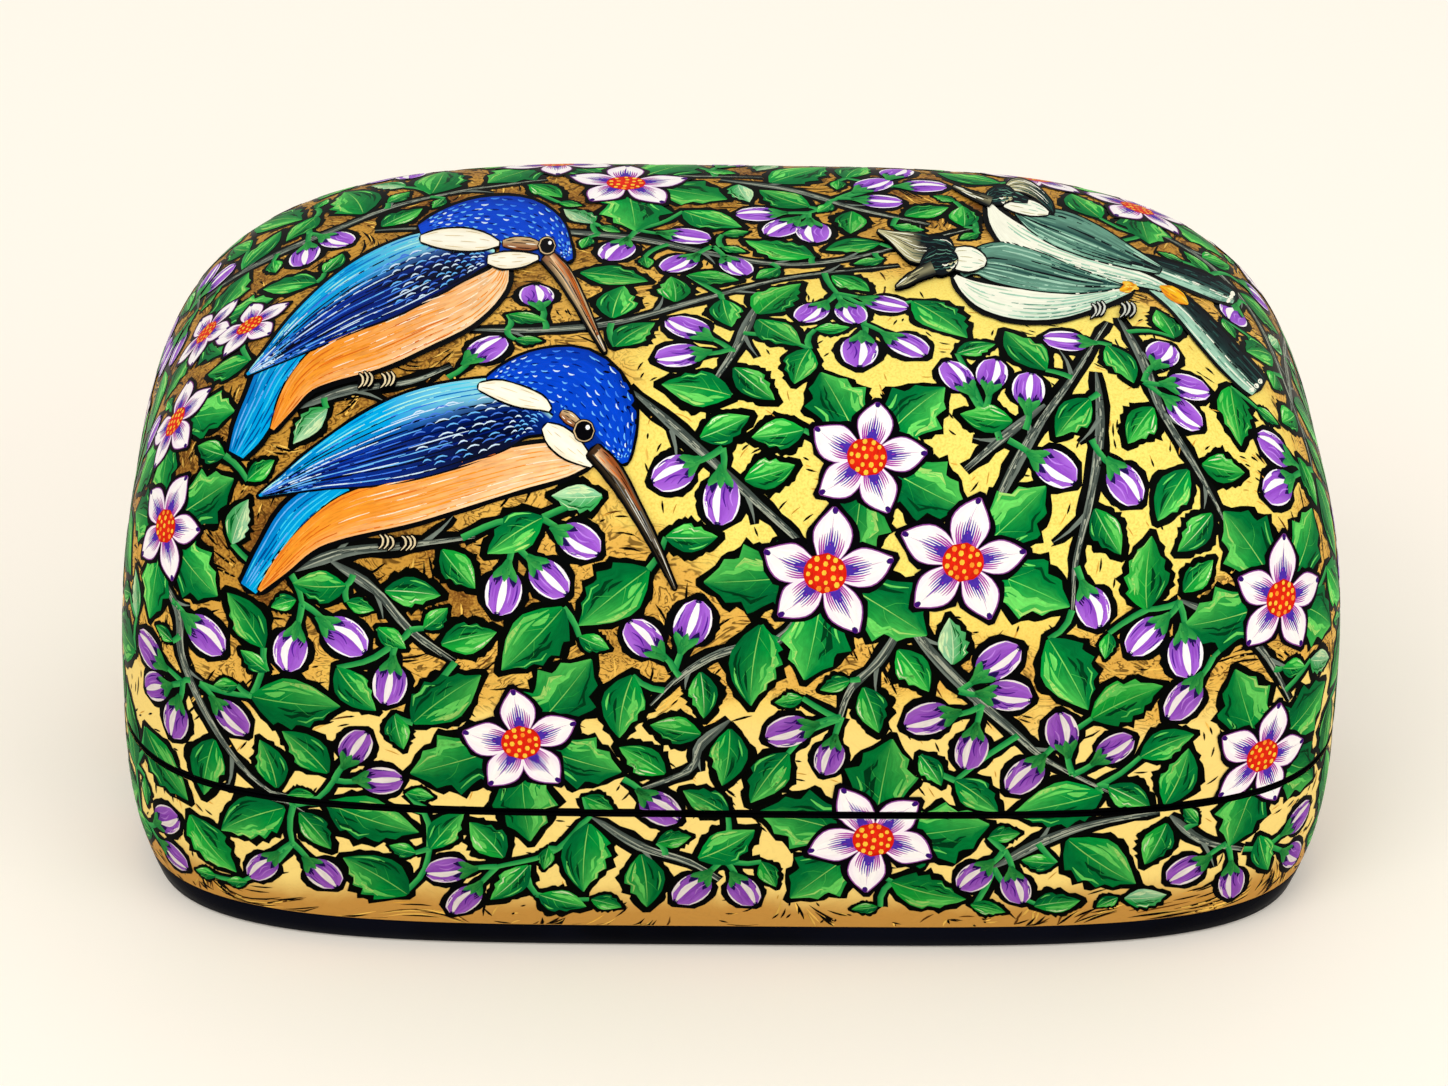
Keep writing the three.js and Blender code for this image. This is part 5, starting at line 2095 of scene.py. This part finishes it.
    def _bud(self, place: Place, join: Array, turn: float) -> None:
        """Paints one bud of a cluster if there is room for it."""
        way = place.way(turn)
        cup = self._settled(join + way * self.rng.uniform(*self.bud_reach))
        bud = self.painting.stand(cup, cup + way)
        scale = self.rng.uniform(0.92, 1.08) * (0.94 if cup[2] < self.low_line else 1.0)
        length, half = self.bud_size
        body = self._feelers(bud, length * scale, half * scale, 0.15)
        if self.painting.room.free(body).mean() < 0.8:
            return
        self._stem(join, cup, self.rng.uniform(-0.1, 0.1))
        # Buds below the lid's turn are darkened by painted shade.
        self.painting.print(self.buds[self.rng.integers(len(self.buds))], bud, scale,
                            bool(self.rng.integers(2)), self._painted_shade(bud) ** self.bud_painted_shade)
        self.nodes.append(join)

    def leaf_the_runs(self) -> None:
        """Grows leaves from the twigs and stems, to both sides."""
        spots, ways = (np.array(part) for part in zip(*self.runs))
        facing = self.form.settle(spots)[1]
        plans = {}
        for kind in ("large", "middle", "small"):
            for side in (-1, 1):
                turns = side * self.rng.uniform(0.6, 1.25, (len(spots), 1))
                headings = swing(ways, np.cross(facing, ways), turns)
                starts = spots + headings * self.stalk
                plans[kind, side] = self._plan(starts, headings, kind, 1.0, 0.22)
        for number in self.rng.permutation(len(spots)):
            for side in self.rng.permutation([-1, 1]):
                for kind in ("large", "middle", "small"):
                    place, feelers = plans[kind, side][number]
                    if self._has_room(feelers):
                        self._leaf(kind, place, self.rng.uniform(0.92, 1.06))
                        break

    def _openness(self, spot: Array) -> float:
        """Says how much of the gold ground stays bare round a spot, from 0 to 1."""
        away = (spot / MM - np.array([34, -40, 84])) / np.array([58, 40, 32])
        if float((away**2).sum()) < 1.0:
            return 1.0
        return self.low_open if spot[2] < self.low_line else 0.0

    def _scatter(self, tries: int, lowest: float) -> tuple[Array, Array]:
        """Gives spots on the box above a share of its height and the outward directions there."""
        reach = self.form.reach
        spots = self.rng.uniform(-1, 1, (tries, 3)) * reach
        spots[:, 2] = self.rng.uniform(lowest, 1.0, tries) * reach[2]
        outer = np.maximum(np.abs(spots[:, :2] / reach[:2]).max(axis=1), (spots[:, 2] / reach[2]) ** 2)
        return self.form.settle(spots[outer > 0.55], 12)

    def brush_ground(self) -> None:
        """Brushes small strokes on what stays bare, along a wavy flow."""
        spots, facing = self._scatter(self.ground_tries, 0.05)
        free = self.painting.room.free(spots)
        spots, facing = spots[free], facing[free]
        brown = np.clip(0.5 - GoldGround("gold_ground").light(spots), 0, 1)
        brown = np.maximum(brown, np.clip((9 * MM - spots[:, 2]) / (3 * MM), 0, 1))
        for number, stroke in enumerate(GROUND_STROKES):
            common = stroke.on_gold + (stroke.on_brown - stroke.on_gold) * brown
            chosen = self.rng.uniform(size=len(spots)) < common
            line, out = [spots[chosen]], facing[chosen]
            step = stroke.length / self.ground_rounds * MM
            step = step * self.rng.uniform(0.5, 1.3, (len(out), 1))
            for _ in range(self.ground_rounds):
                ahead, out = self.form.settle(line[-1] + self._flow(line[-1], out) * step, 2)
                line.append(ahead)
            self.painting.scatter(np.stack(line, axis=1), stroke.half * MM, stroke.colour,
                                  number * self.ground_step)
            log.info("ground strokes: %d", len(out))

    def _flow(self, spots: Array, facing: Array) -> Array:
        """Gives the direction of the ground's brushwork at spots on the box."""
        x, y, z = (spots / MM).T
        angle = 2.5 * np.sin(x / 14 + z / 25) + 2.0 * np.sin(y / 18 - x / 16 + 1.7)
        angle = (angle + 1.5 * np.sin(z / 21 + y / 30))[:, None]
        level = unit(np.cross(facing, self.slant))
        return swing(level, np.cross(facing, level), angle)

    def fill_gaps(self) -> None:
        """Fills what is still bare with leaves, large ones first."""
        spots, facing = self._scatter(self.tries, 0.07)
        for kind, scale, skip in self.fillings:
            free = self.painting.room.free(spots)
            spots, facing = spots[free], facing[free]
            self._fill(spots, facing, kind, scale, skip)

    def _fill(self, spots: Array, facing: Array, kind: str, scale: float, skip: float) -> None:
        """Prints leaves of one kind wherever one fits, each growing from the nearest node.

        Args:
            spots: Where the leaves' middles could lie.
            facing: The outward directions there.
            kind: The kind of leaf.
            scale: Its size.
            skip: How many of them are left out where the gold ground stays bare.
        """
        length = LEAF_KINDS[kind].length * scale * MM
        level = unit(np.cross(facing, self.slant))
        first = self.rng.uniform(0, 2 * math.pi, (len(spots), 1))
        plans = []
        for turn in np.linspace(0, 2 * math.pi, self.turns, endpoint=False):
            headings = swing(level, np.cross(facing, level), first + turn)
            plans.append(self._plan(spots - headings * length / 2, headings, kind, scale, 0.0))
        for number, spot in enumerate(spots):
            if self.rng.uniform() < skip * self._openness(spot):
                continue
            fits = [plan[number][0] for plan in plans if self._has_room(plan[number][1])]
            if not fits:
                continue
            roots = [self._nearest(place.spot) for place in fits]
            best = min(range(len(fits)), key=lambda n: roots[n][1])
            (node, gap), place = roots[best], fits[best]
            if self.stem_gaps[0] < gap < self.stem_gaps[1]:
                self._stem(node, place.spot, self.rng.uniform(-0.15, 0.15))
            self._leaf(kind, place, scale * self.rng.uniform(0.94, 1.05))


class Bench:
    """The modelling steps that the pieces share."""

    level = 1.0 * MM

    @staticmethod
    def edit() -> None:
        """Opens edit mode."""
        bpy.ops.object.mode_set(mode="EDIT")

    @staticmethod
    def leave() -> None:
        """Goes back to object mode."""
        bpy.ops.object.mode_set(mode="OBJECT")

    @staticmethod
    def clear() -> None:
        """Deselects everything."""
        bpy.ops.object.select_all(action="DESELECT")

    @classmethod
    def activate(cls, piece: bpy.types.Object) -> None:
        """Selects a piece alone."""
        cls.clear()
        piece.select_set(True)
        bpy.context.view_layer.objects.active = piece

    @classmethod
    def stack(cls, name: str, around: int, levels: int) -> bpy.types.Object:
        """Draws a circle and extrudes it upwards, ring by ring.

        Args:
            name: The piece's name.
            around: How many points each ring has.
            levels: How many rings there are.

        Returns:
            The piece, with its rings a level apart.
        """
        cls.clear()
        bpy.ops.mesh.primitive_circle_add(vertices=around, radius=1.0)
        piece = bpy.context.object
        piece.name = piece.data.name = name
        cls.edit()
        bpy.ops.mesh.select_all(action="SELECT")
        for _ in range(levels - 1):
            bpy.ops.mesh.extrude_region_move(TRANSFORM_OT_translate={"value": (0, 0, cls.level)})
        cls.leave()
        return piece

    @classmethod
    def block(cls, name: str, cuts: int, lower_half: bool) -> bpy.types.Object:
        """Adds a cube of two metres and subdivides it.

        Args:
            name: The piece's name.
            cuts: How many cuts each edge gets.
            lower_half: Whether what lies below the middle stays.

        Returns:
            The piece.
        """
        cls.clear()
        bpy.ops.mesh.primitive_cube_add(size=2.0)
        piece = bpy.context.object
        piece.name = piece.data.name = name
        cls.edit()
        bpy.ops.mesh.select_all(action="SELECT")
        bpy.ops.mesh.subdivide(number_cuts=cuts)
        cls.leave()
        if not lower_half:
            cls.select_where(piece, lambda points: points[:, 2] < -1e-6)
            cls.edit()
            bpy.ops.mesh.delete(type="VERT")
            cls.leave()
        return piece

    @staticmethod
    def points(piece: bpy.types.Object) -> Array:
        """Reads a piece's points."""
        flat = np.empty(len(piece.data.vertices) * 3, np.float32)
        piece.data.vertices.foreach_get("co", flat)
        return flat.reshape(-1, 3).astype(float)

    @staticmethod
    def area(piece: bpy.types.Object) -> float:
        """Measures one side of a thin piece."""
        return sum(face.area for face in piece.data.polygons) / 2

    @classmethod
    def press(cls, piece: bpy.types.Object, mould: Callable[[Array], Array]) -> None:
        """Presses a piece's points onto a mould."""
        pressed = mould(cls.points(piece)).astype(np.float32)
        piece.data.vertices.foreach_set("co", pressed.ravel())
        piece.data.update()

    @classmethod
    def select_where(cls, piece: bpy.types.Object, test: Callable[[Array], Array]) -> None:
        """Selects the points of a piece that pass a test."""
        chosen = test(cls.points(piece))
        cls.edit()
        bpy.ops.mesh.select_mode(type="VERT")
        bpy.ops.mesh.select_all(action="DESELECT")
        cls.leave()
        piece.data.vertices.foreach_set("select", chosen)
        piece.data.update()

    @classmethod
    def tidy(cls, fill: bool = False) -> None:
        """Merges doubled points, fills open rings if asked and turns the faces outwards."""
        cls.edit()
        bpy.ops.mesh.select_mode(type="VERT")
        bpy.ops.mesh.select_all(action="SELECT")
        bpy.ops.mesh.remove_doubles(threshold=0.002 * MM)
        if fill:
            bpy.ops.mesh.fill_holes(sides=0)
            bpy.ops.mesh.select_all(action="SELECT")
        bpy.ops.mesh.normals_make_consistent(inside=False)
        cls.leave()

    @classmethod
    def work(cls, piece: bpy.types.Object, kind: str, **settings: Any) -> None:
        """Adds a modifier of a kind with its settings and applies it."""
        cls.activate(piece)
        modifier = piece.modifiers.new(kind.lower(), kind)
        for name, value in settings.items():
            setattr(modifier, name, value)
        bpy.ops.object.modifier_apply(modifier=modifier.name)

    @classmethod
    def smooth(cls, piece: bpy.types.Object, degrees: float = 35.0) -> None:
        """Shades a piece smooth up to an angle."""
        cls.activate(piece)
        bpy.ops.object.shade_smooth_by_angle(angle=math.radians(degrees))

    @staticmethod
    def dress(piece: bpy.types.Object, finish: Finish, body: str, slot: str, *nodes: str) -> None:
        """Gives a piece its finish and body, and hides the CAD nodes that it stands for.

        Args:
            piece: The piece.
            finish: Its finish.
            body: The body that it rides on.
            slot: Not used.
            nodes: The CAD nodes that it replaces.
        """
        piece.data.materials.clear()
        piece.data.materials.append(finish.material())
        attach(piece, body)
        if nodes:
            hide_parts(*nodes)
        log.info("%s: %d faces", piece.name, len(piece.data.polygons))


@dataclass(frozen=True)
class Band:
    """A strip that runs round the box: its section as insets from the plan, and heights."""

    name: str
    node: str
    section: tuple[tuple[float, float], ...]
    finish: Finish = SEAM_BLACK
    slot: str = "black_lacquer"
    body: str = "base"
    bevel: float = 0.0
    around: int = 288
    hollow: bool = True

    @classmethod
    def rim(cls, name: str, node: str, body: str, wall: float) -> "Band":
        """Gives the black strip as thick as the wall that edges one half's mouth."""
        bottom, top = (corner[2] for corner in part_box(node))
        section = ((0.0, bottom), (0.0, top), (wall, top), (wall, bottom))
        return cls(name, node, section, body=body, bevel=0.12 * MM)

    def build(self, form: BoxForm) -> bpy.types.Object:
        """Extrudes the strip round the box, presses it to its section and dresses it.

        Args:
            form: The box's form.

        Returns:
            The strip.
        """
        section = np.array(self.section)
        piece = Bench.stack(self.name, self.around, len(section) + self.hollow)

        def mould(points: Array) -> Array:
            """Puts each ring at its inset and height."""
            level = np.rint(points[:, 2] / Bench.level).astype(int) % len(section)
            inset, height = section[level].T
            plan = form.inset_plan(np.arctan2(points[:, 1], points[:, 0]), inset)
            return np.concatenate([plan, height[:, None]], axis=1)

        Bench.press(piece, mould)
        Bench.tidy(fill=not self.hollow)
        if self.bevel:
            Bench.work(piece, "BEVEL", width=self.bevel, segments=2, limit_method="ANGLE",
                       angle_limit=math.radians(50))
        Bench.smooth(piece)
        Bench.dress(piece, self.finish, self.body, self.slot, self.node)
        return piece


@dataclass
class LidParts:
    """The lid: its painted shell, its black rim and its velvet lining."""

    form: BoxForm
    cuts: int = 87
    lining_cuts: int = 43
    halvings: int = 36
    lining_gap: float = 0.4 * MM
    lining_thickness: float = 1.0 * MM

    def _dome(self, name: str, cuts: int, mouth: float, inset: float) -> bpy.types.Object:
        """Presses half a cube onto the pillow.

        Args:
            name: The piece's name.
            cuts: How finely it is cut.
            mouth: The height of its open edge.
            inset: How far inside the outer face it lies.

        Returns:
            The piece, one face thick.
        """
        form = self.form
        piece = Bench.block(name, cuts, lower_half=False)
        middle = np.array([0.0, 0.0, mouth])

        def mould(points: Array) -> Array:
            """Pushes the cube's points along their rays to the pillow's face."""
            ray = points * (form.reach - middle)
            near, far = np.full(len(ray), 0.3), np.full(len(ray), 1.7)
            for _ in range(self.halvings):
                share = (near + far) / 2
                inner = form.dome(middle + ray * share[:, None])[0] < 1.0
                near = np.where(inner, share, near)
                far = np.where(inner, far, share)
            face = middle + ray * far[:, None]
            if inset:
                face = face - unit(form.dome(face)[1]) * inset
                face[:, 2] = np.where(points[:, 2] < 1e-6, mouth, face[:, 2])
            return face

        Bench.press(piece, mould)
        return piece

    def build(self) -> None:
        """Builds and dresses the shell, the rim and the lining."""
        low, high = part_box("lid_shell")
        lining_low, lining_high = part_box("lid_lining")
        wall = (high[2] - lining_high[2]) - self.lining_gap
        shell = self._dome("lid_shell_painted", self.cuts, low[2], 0.0)
        Bench.work(shell, "SOLIDIFY", thickness=wall, offset=-1.0, use_even_offset=True)
        Bench.smooth(shell)
        Bench.dress(shell, GoldGround("gold_ground"), "lid", "painted_papier_mache", "lid_shell")
        Band.rim("lid_rim_strip", "lid_rim", "lid", wall).build(self.form)
        inset = wall + self.lining_gap
        lining = self._dome("lid_velvet_lining", self.lining_cuts, lining_low[2], inset)
        Bench.work(lining, "SOLIDIFY", thickness=self.lining_thickness, offset=-1.0)
        Bench.smooth(lining)
        Bench.dress(lining, PileCloth("red_velvet"), "lid", "velvet", "lid_lining")
        Bench.area(lining)


@dataclass
class TrayParts:
    """The tray: its painted shell, rim, collar, foot band, board, felt, card, lining and pad."""

    form: BoxForm
    around: int = 288
    levels: int = 15
    glue: float = 0.3 * MM
    chamfer: float = 0.6 * MM
    foot_edge: float = 0.5 * MM
    soft: float = 0.35 * MM
    lining_thickness: float = 1.0 * MM
    pad_gap: float = 0.25 * MM
    pad_edge: float = 4.0 * MM
    pad_voxel: float = 3.0 * MM
    pad_cap: float = 2.6 * MM
    pad_pressure: float = 4.0
    pad_frames: int = 20

    def build(self) -> None:
        """Builds and dresses every piece of the tray."""
        self._shell()
        self._rim_and_collar()
        self._foot()
        self._felt()
        self._wall_lining()
        self._pad()
        for node in ("base_board", "floor_card"):
            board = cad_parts[node]
            board.data.materials.clear()
            board.data.materials.append(PulpBoard("pulp_board").material())

    def _inset(self, node: str) -> float:
        """Says how far a CAD node's outer face lies inside the box's plan."""
        return self.form.half_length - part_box(node)[1][0]

    def _shell(self) -> None:
        """Builds the painted tray with its floor."""
        low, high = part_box("base_shell")
        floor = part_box("floor_card")[0][2] - low[2]
        piece = Bench.stack("base_shell_painted", self.around, self.levels)

        def mould(points: Array) -> Array:
            """Puts each ring on the tray's wall."""
            share = points[:, 2] / Bench.level / (self.levels - 1)
            heights = low[2] + (high[2] - low[2]) * share
            return self.form.wall(np.arctan2(points[:, 1], points[:, 0]), heights)

        Bench.press(piece, mould)
        Bench.select_where(piece, lambda points: points[:, 2] < low[2] + 0.01 * MM)
        Bench.edit()
        bpy.ops.mesh.edge_face_add()
        Bench.leave()
        Bench.tidy()
        Bench.work(piece, "SOLIDIFY", thickness=floor, offset=-1.0, use_even_offset=True)
        Bench.smooth(piece)
        Bench.dress(piece, GoldGround("gold_ground"), "base", "painted_papier_mache", "base_shell")

    def _rim_and_collar(self) -> None:
        """Builds the black strip round the mouth and the collar that the lid slips over."""
        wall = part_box("floor_card")[0][2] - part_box("base_shell")[0][2]
        Band.rim("base_rim_strip", "base_rim", "base", wall).build(self.form)
        low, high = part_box("base_collar")
        outer = self._inset("base_collar")
        inner = self._inset("wall_lining") - self.glue
        top = high[2]
        Band("base_collar_strip", "base_collar",
             ((outer, low[2]), (outer, top - self.chamfer), (outer + self.chamfer, top),
              (inner, top), (inner, low[2])), bevel=0.2 * MM).build(self.form)

    def _foot(self) -> None:
        """Builds the black foot band, whose outer face runs on from the tray's."""
        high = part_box("foot_band")[1][2]
        edge = self.foot_edge
        inner = self._inset("base_board") - self.glue
        tuck = self.form.tuck_at
        section = [(float(tuck(0.0)) + edge, 0.0)]
        section += [(float(tuck(z)), z) for z in (edge, high * 0.5, high - edge * 0.5)]
        section += [(float(tuck(high)) + edge * 0.5, high), (inner, high), (inner, 0.0)]
        Band("foot_band_strip", "foot_band", tuple(section), BlackLacquer("foot_lacquer"),
             bevel=0.15 * MM).build(self.form)

    def _felt(self) -> None:
        """Builds the felt sheet under the board."""
        low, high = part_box("base_felt")
        edge, soft, top = self._inset("base_felt"), self.soft, high[2]
        felt = PileCloth("green_felt", srgb(10, 44, 26), srgb(28, 78, 48), 900.0, 0.4, 0.3)
        piece = Band("base_felt_sheet", "base_felt",
                     ((edge + soft, 0.0), (edge, soft), (edge, top - soft), (edge + soft, top)),
                     felt, "felt", around=192, hollow=False).build(self.form)
        Bench.area(piece)

    def _wall_lining(self) -> None:
        """Builds the velvet strip inside the collar."""
        low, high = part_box("wall_lining")
        outer, soft = self._inset("wall_lining"), self.soft
        inner = outer + self.lining_thickness
        top, bottom = high[2], low[2]
        piece = Band("wall_velvet_lining", "wall_lining",
                     ((outer, bottom), (outer, top - soft), (outer + soft, top),
                      (inner - soft, top), (inner, top - soft), (inner, bottom + soft),
                      (inner - soft, bottom)), PileCloth("red_velvet"), "velvet").build(self.form)
        area = Bench.area(piece)
        tall = top - bottom
        area / tall

    def _pad(self) -> None:
        """Builds the padded velvet floor and puffs it with cloth."""
        low, high = (np.array(corner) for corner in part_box("floor_pad"))
        form = self.form
        inset = self._inset("wall_lining") + self.lining_thickness + self.pad_gap
        high[:2] = form.half_length - inset, form.half_depth - inset
        low[:2] = -high[:2]
        piece = Bench.block("floor_velvet_pad", 31, lower_half=True)
        crown = high[2] - low[2] - self.pad_edge

        def mould(points: Array) -> Array:
            """Spreads the cube over the floor and crowns it."""
            square = np.abs(points[:, :2]).max(axis=1)
            way = np.arctan2(points[:, 1] * form.half_depth, points[:, 0] * form.half_length)
            plan = form.inset_plan(way, inset)
            rise = (points[:, 2] + 1) / 2
            top = self.pad_edge + crown * (1 - square**2.4)
            bulge = 1.0 - 0.012 * (2 * rise - 1) ** 2
            return np.concatenate([plan * (square * bulge)[:, None],
                                   (low[2] + rise * top)[:, None]], axis=1)

        Bench.press(piece, mould)
        Bench.tidy()
        self._puff(piece, low, high)
        Bench.work(piece, "SUBSURF", levels=1, render_levels=1)
        Bench.smooth(piece, 60.0)
        Bench.dress(piece, PileCloth("red_velvet"), "base", "velvet", "floor_pad")

    def _puff(self, piece: bpy.types.Object, low: Array, high: Array) -> None:
        """Swells the pad like stuffed cloth and keeps it in its place.

        Args:
            piece: The pad.
            low: The lowest corner of its space.
            high: The highest corner of its space.
        """
        Bench.activate(piece)
        piece.data.remesh_voxel_size = self.pad_voxel
        bpy.ops.object.voxel_remesh()
        start = Bench.points(piece)
        cloth = piece.modifiers.new("cloth", "CLOTH")
        cloth.settings.use_pressure = True
        cloth.settings.uniform_pressure_force = self.pad_pressure
        cloth.settings.effector_weights.gravity = 0.0
        cloth.settings.quality = 5
        scene = bpy.context.scene
        for number in range(1, self.pad_frames + 1):
            scene.frame_set(number)
        bpy.ops.object.modifier_apply(modifier="cloth")
        scene.frame_set(1)
        moved = Bench.points(piece) - start
        length = np.linalg.norm(moved, axis=1, keepdims=True)
        swollen = start + moved * np.minimum(1.0, self.pad_cap / np.maximum(length, 1e-9))
        reach = np.abs(swollen[:, :2]).max(axis=0)
        swollen[:, :2] *= high[:2] / reach
        Bench.press(piece, lambda points: np.clip(swollen, low, high))


@dataclass
class Studio:
    """The pale table, the soft lamps and the world."""

    floor_size: float = 9.0
    world: Colour = srgb(255, 252, 247)
    level: float = 0.74

    def build(self) -> None:
        """Builds the floor, the lamps and the world."""
        Bench.clear()
        bpy.ops.mesh.primitive_plane_add(size=self.floor_size)
        floor = bpy.context.object
        floor.name = "table_top"
        floor.data.materials.append(PaleFloor("pale_floor").material())
        self._lamp("key_lamp", (-0.55, -0.85, 1.05), 0.7, 5.2)
        self._lamp("fill_lamp", (0.75, -0.75, 0.55), 0.8, 3.0)
        self._lamp("back_lamp", (0.1, 0.8, 1.2), 0.9, 1.5)
        self._world()
        bpy.context.scene.view_settings.view_transform = "Standard"

    @staticmethod
    def _lamp(name: str, place: tuple[float, float, float], size: float, power: float) -> None:
        """Adds a square soft lamp that shines at the box.

        Args:
            name: Its name.
            place: Where it hangs.
            size: Its side.
            power: Its power in watts.
        """
        data = bpy.data.lights.new(name, "AREA")
        data.shape = "SQUARE"
        data.size = size
        data.energy = power
        lamp = bpy.data.objects.new(name, data)
        lamp.location = place
        aim = Vector((0.0, 0.0, 0.05)) - Vector(place)
        lamp.rotation_euler = aim.to_track_quat("-Z", "Y").to_euler()
        bpy.context.scene.collection.objects.link(lamp)

    def _world(self) -> None:
        """Lights the scene from all sides and shows a pale background."""
        world = bpy.data.worlds.new("studio")
        world.use_nodes = True
        bpy.context.scene.world = world
        graph = Graph(world.node_tree)
        strength = graph.seen() * (1.0 - self.level) + self.level
        sky = graph.add("ShaderNodeBackground", {}, {"Color": self.world, "Strength": strength})
        graph.add("ShaderNodeOutputWorld", {}, {"Surface": sky})


def paint_box(form: BoxForm, view: PhotoView) -> None:
    """Paints the lid and the tray and makes every coat a piece.

    Args:
        form: The box's form.
        view: The photograph's viewpoint.
    """
    painting = Painting(form, view, np.random.default_rng(7))
    Garden(painting).plant()
    finish = BrushPaint("brush_paint")
    for part in Part:
        for coat in Coat:
            piece = painting.make(coat, part)
            if piece:
                Bench.dress(piece, finish, part.value, "painted_papier_mache")


def main() -> None:
    """Builds the box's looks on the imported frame."""
    logging.basicConfig(level=logging.INFO, format="%(message)s")
    form = BoxForm.from_frame()
    view = PhotoView(form)
    view.place_camera()
    LidParts(form).build()
    TrayParts(form).build()
    paint_box(form, view)
    Studio().build()


if __name__ == "__main__":
    main()
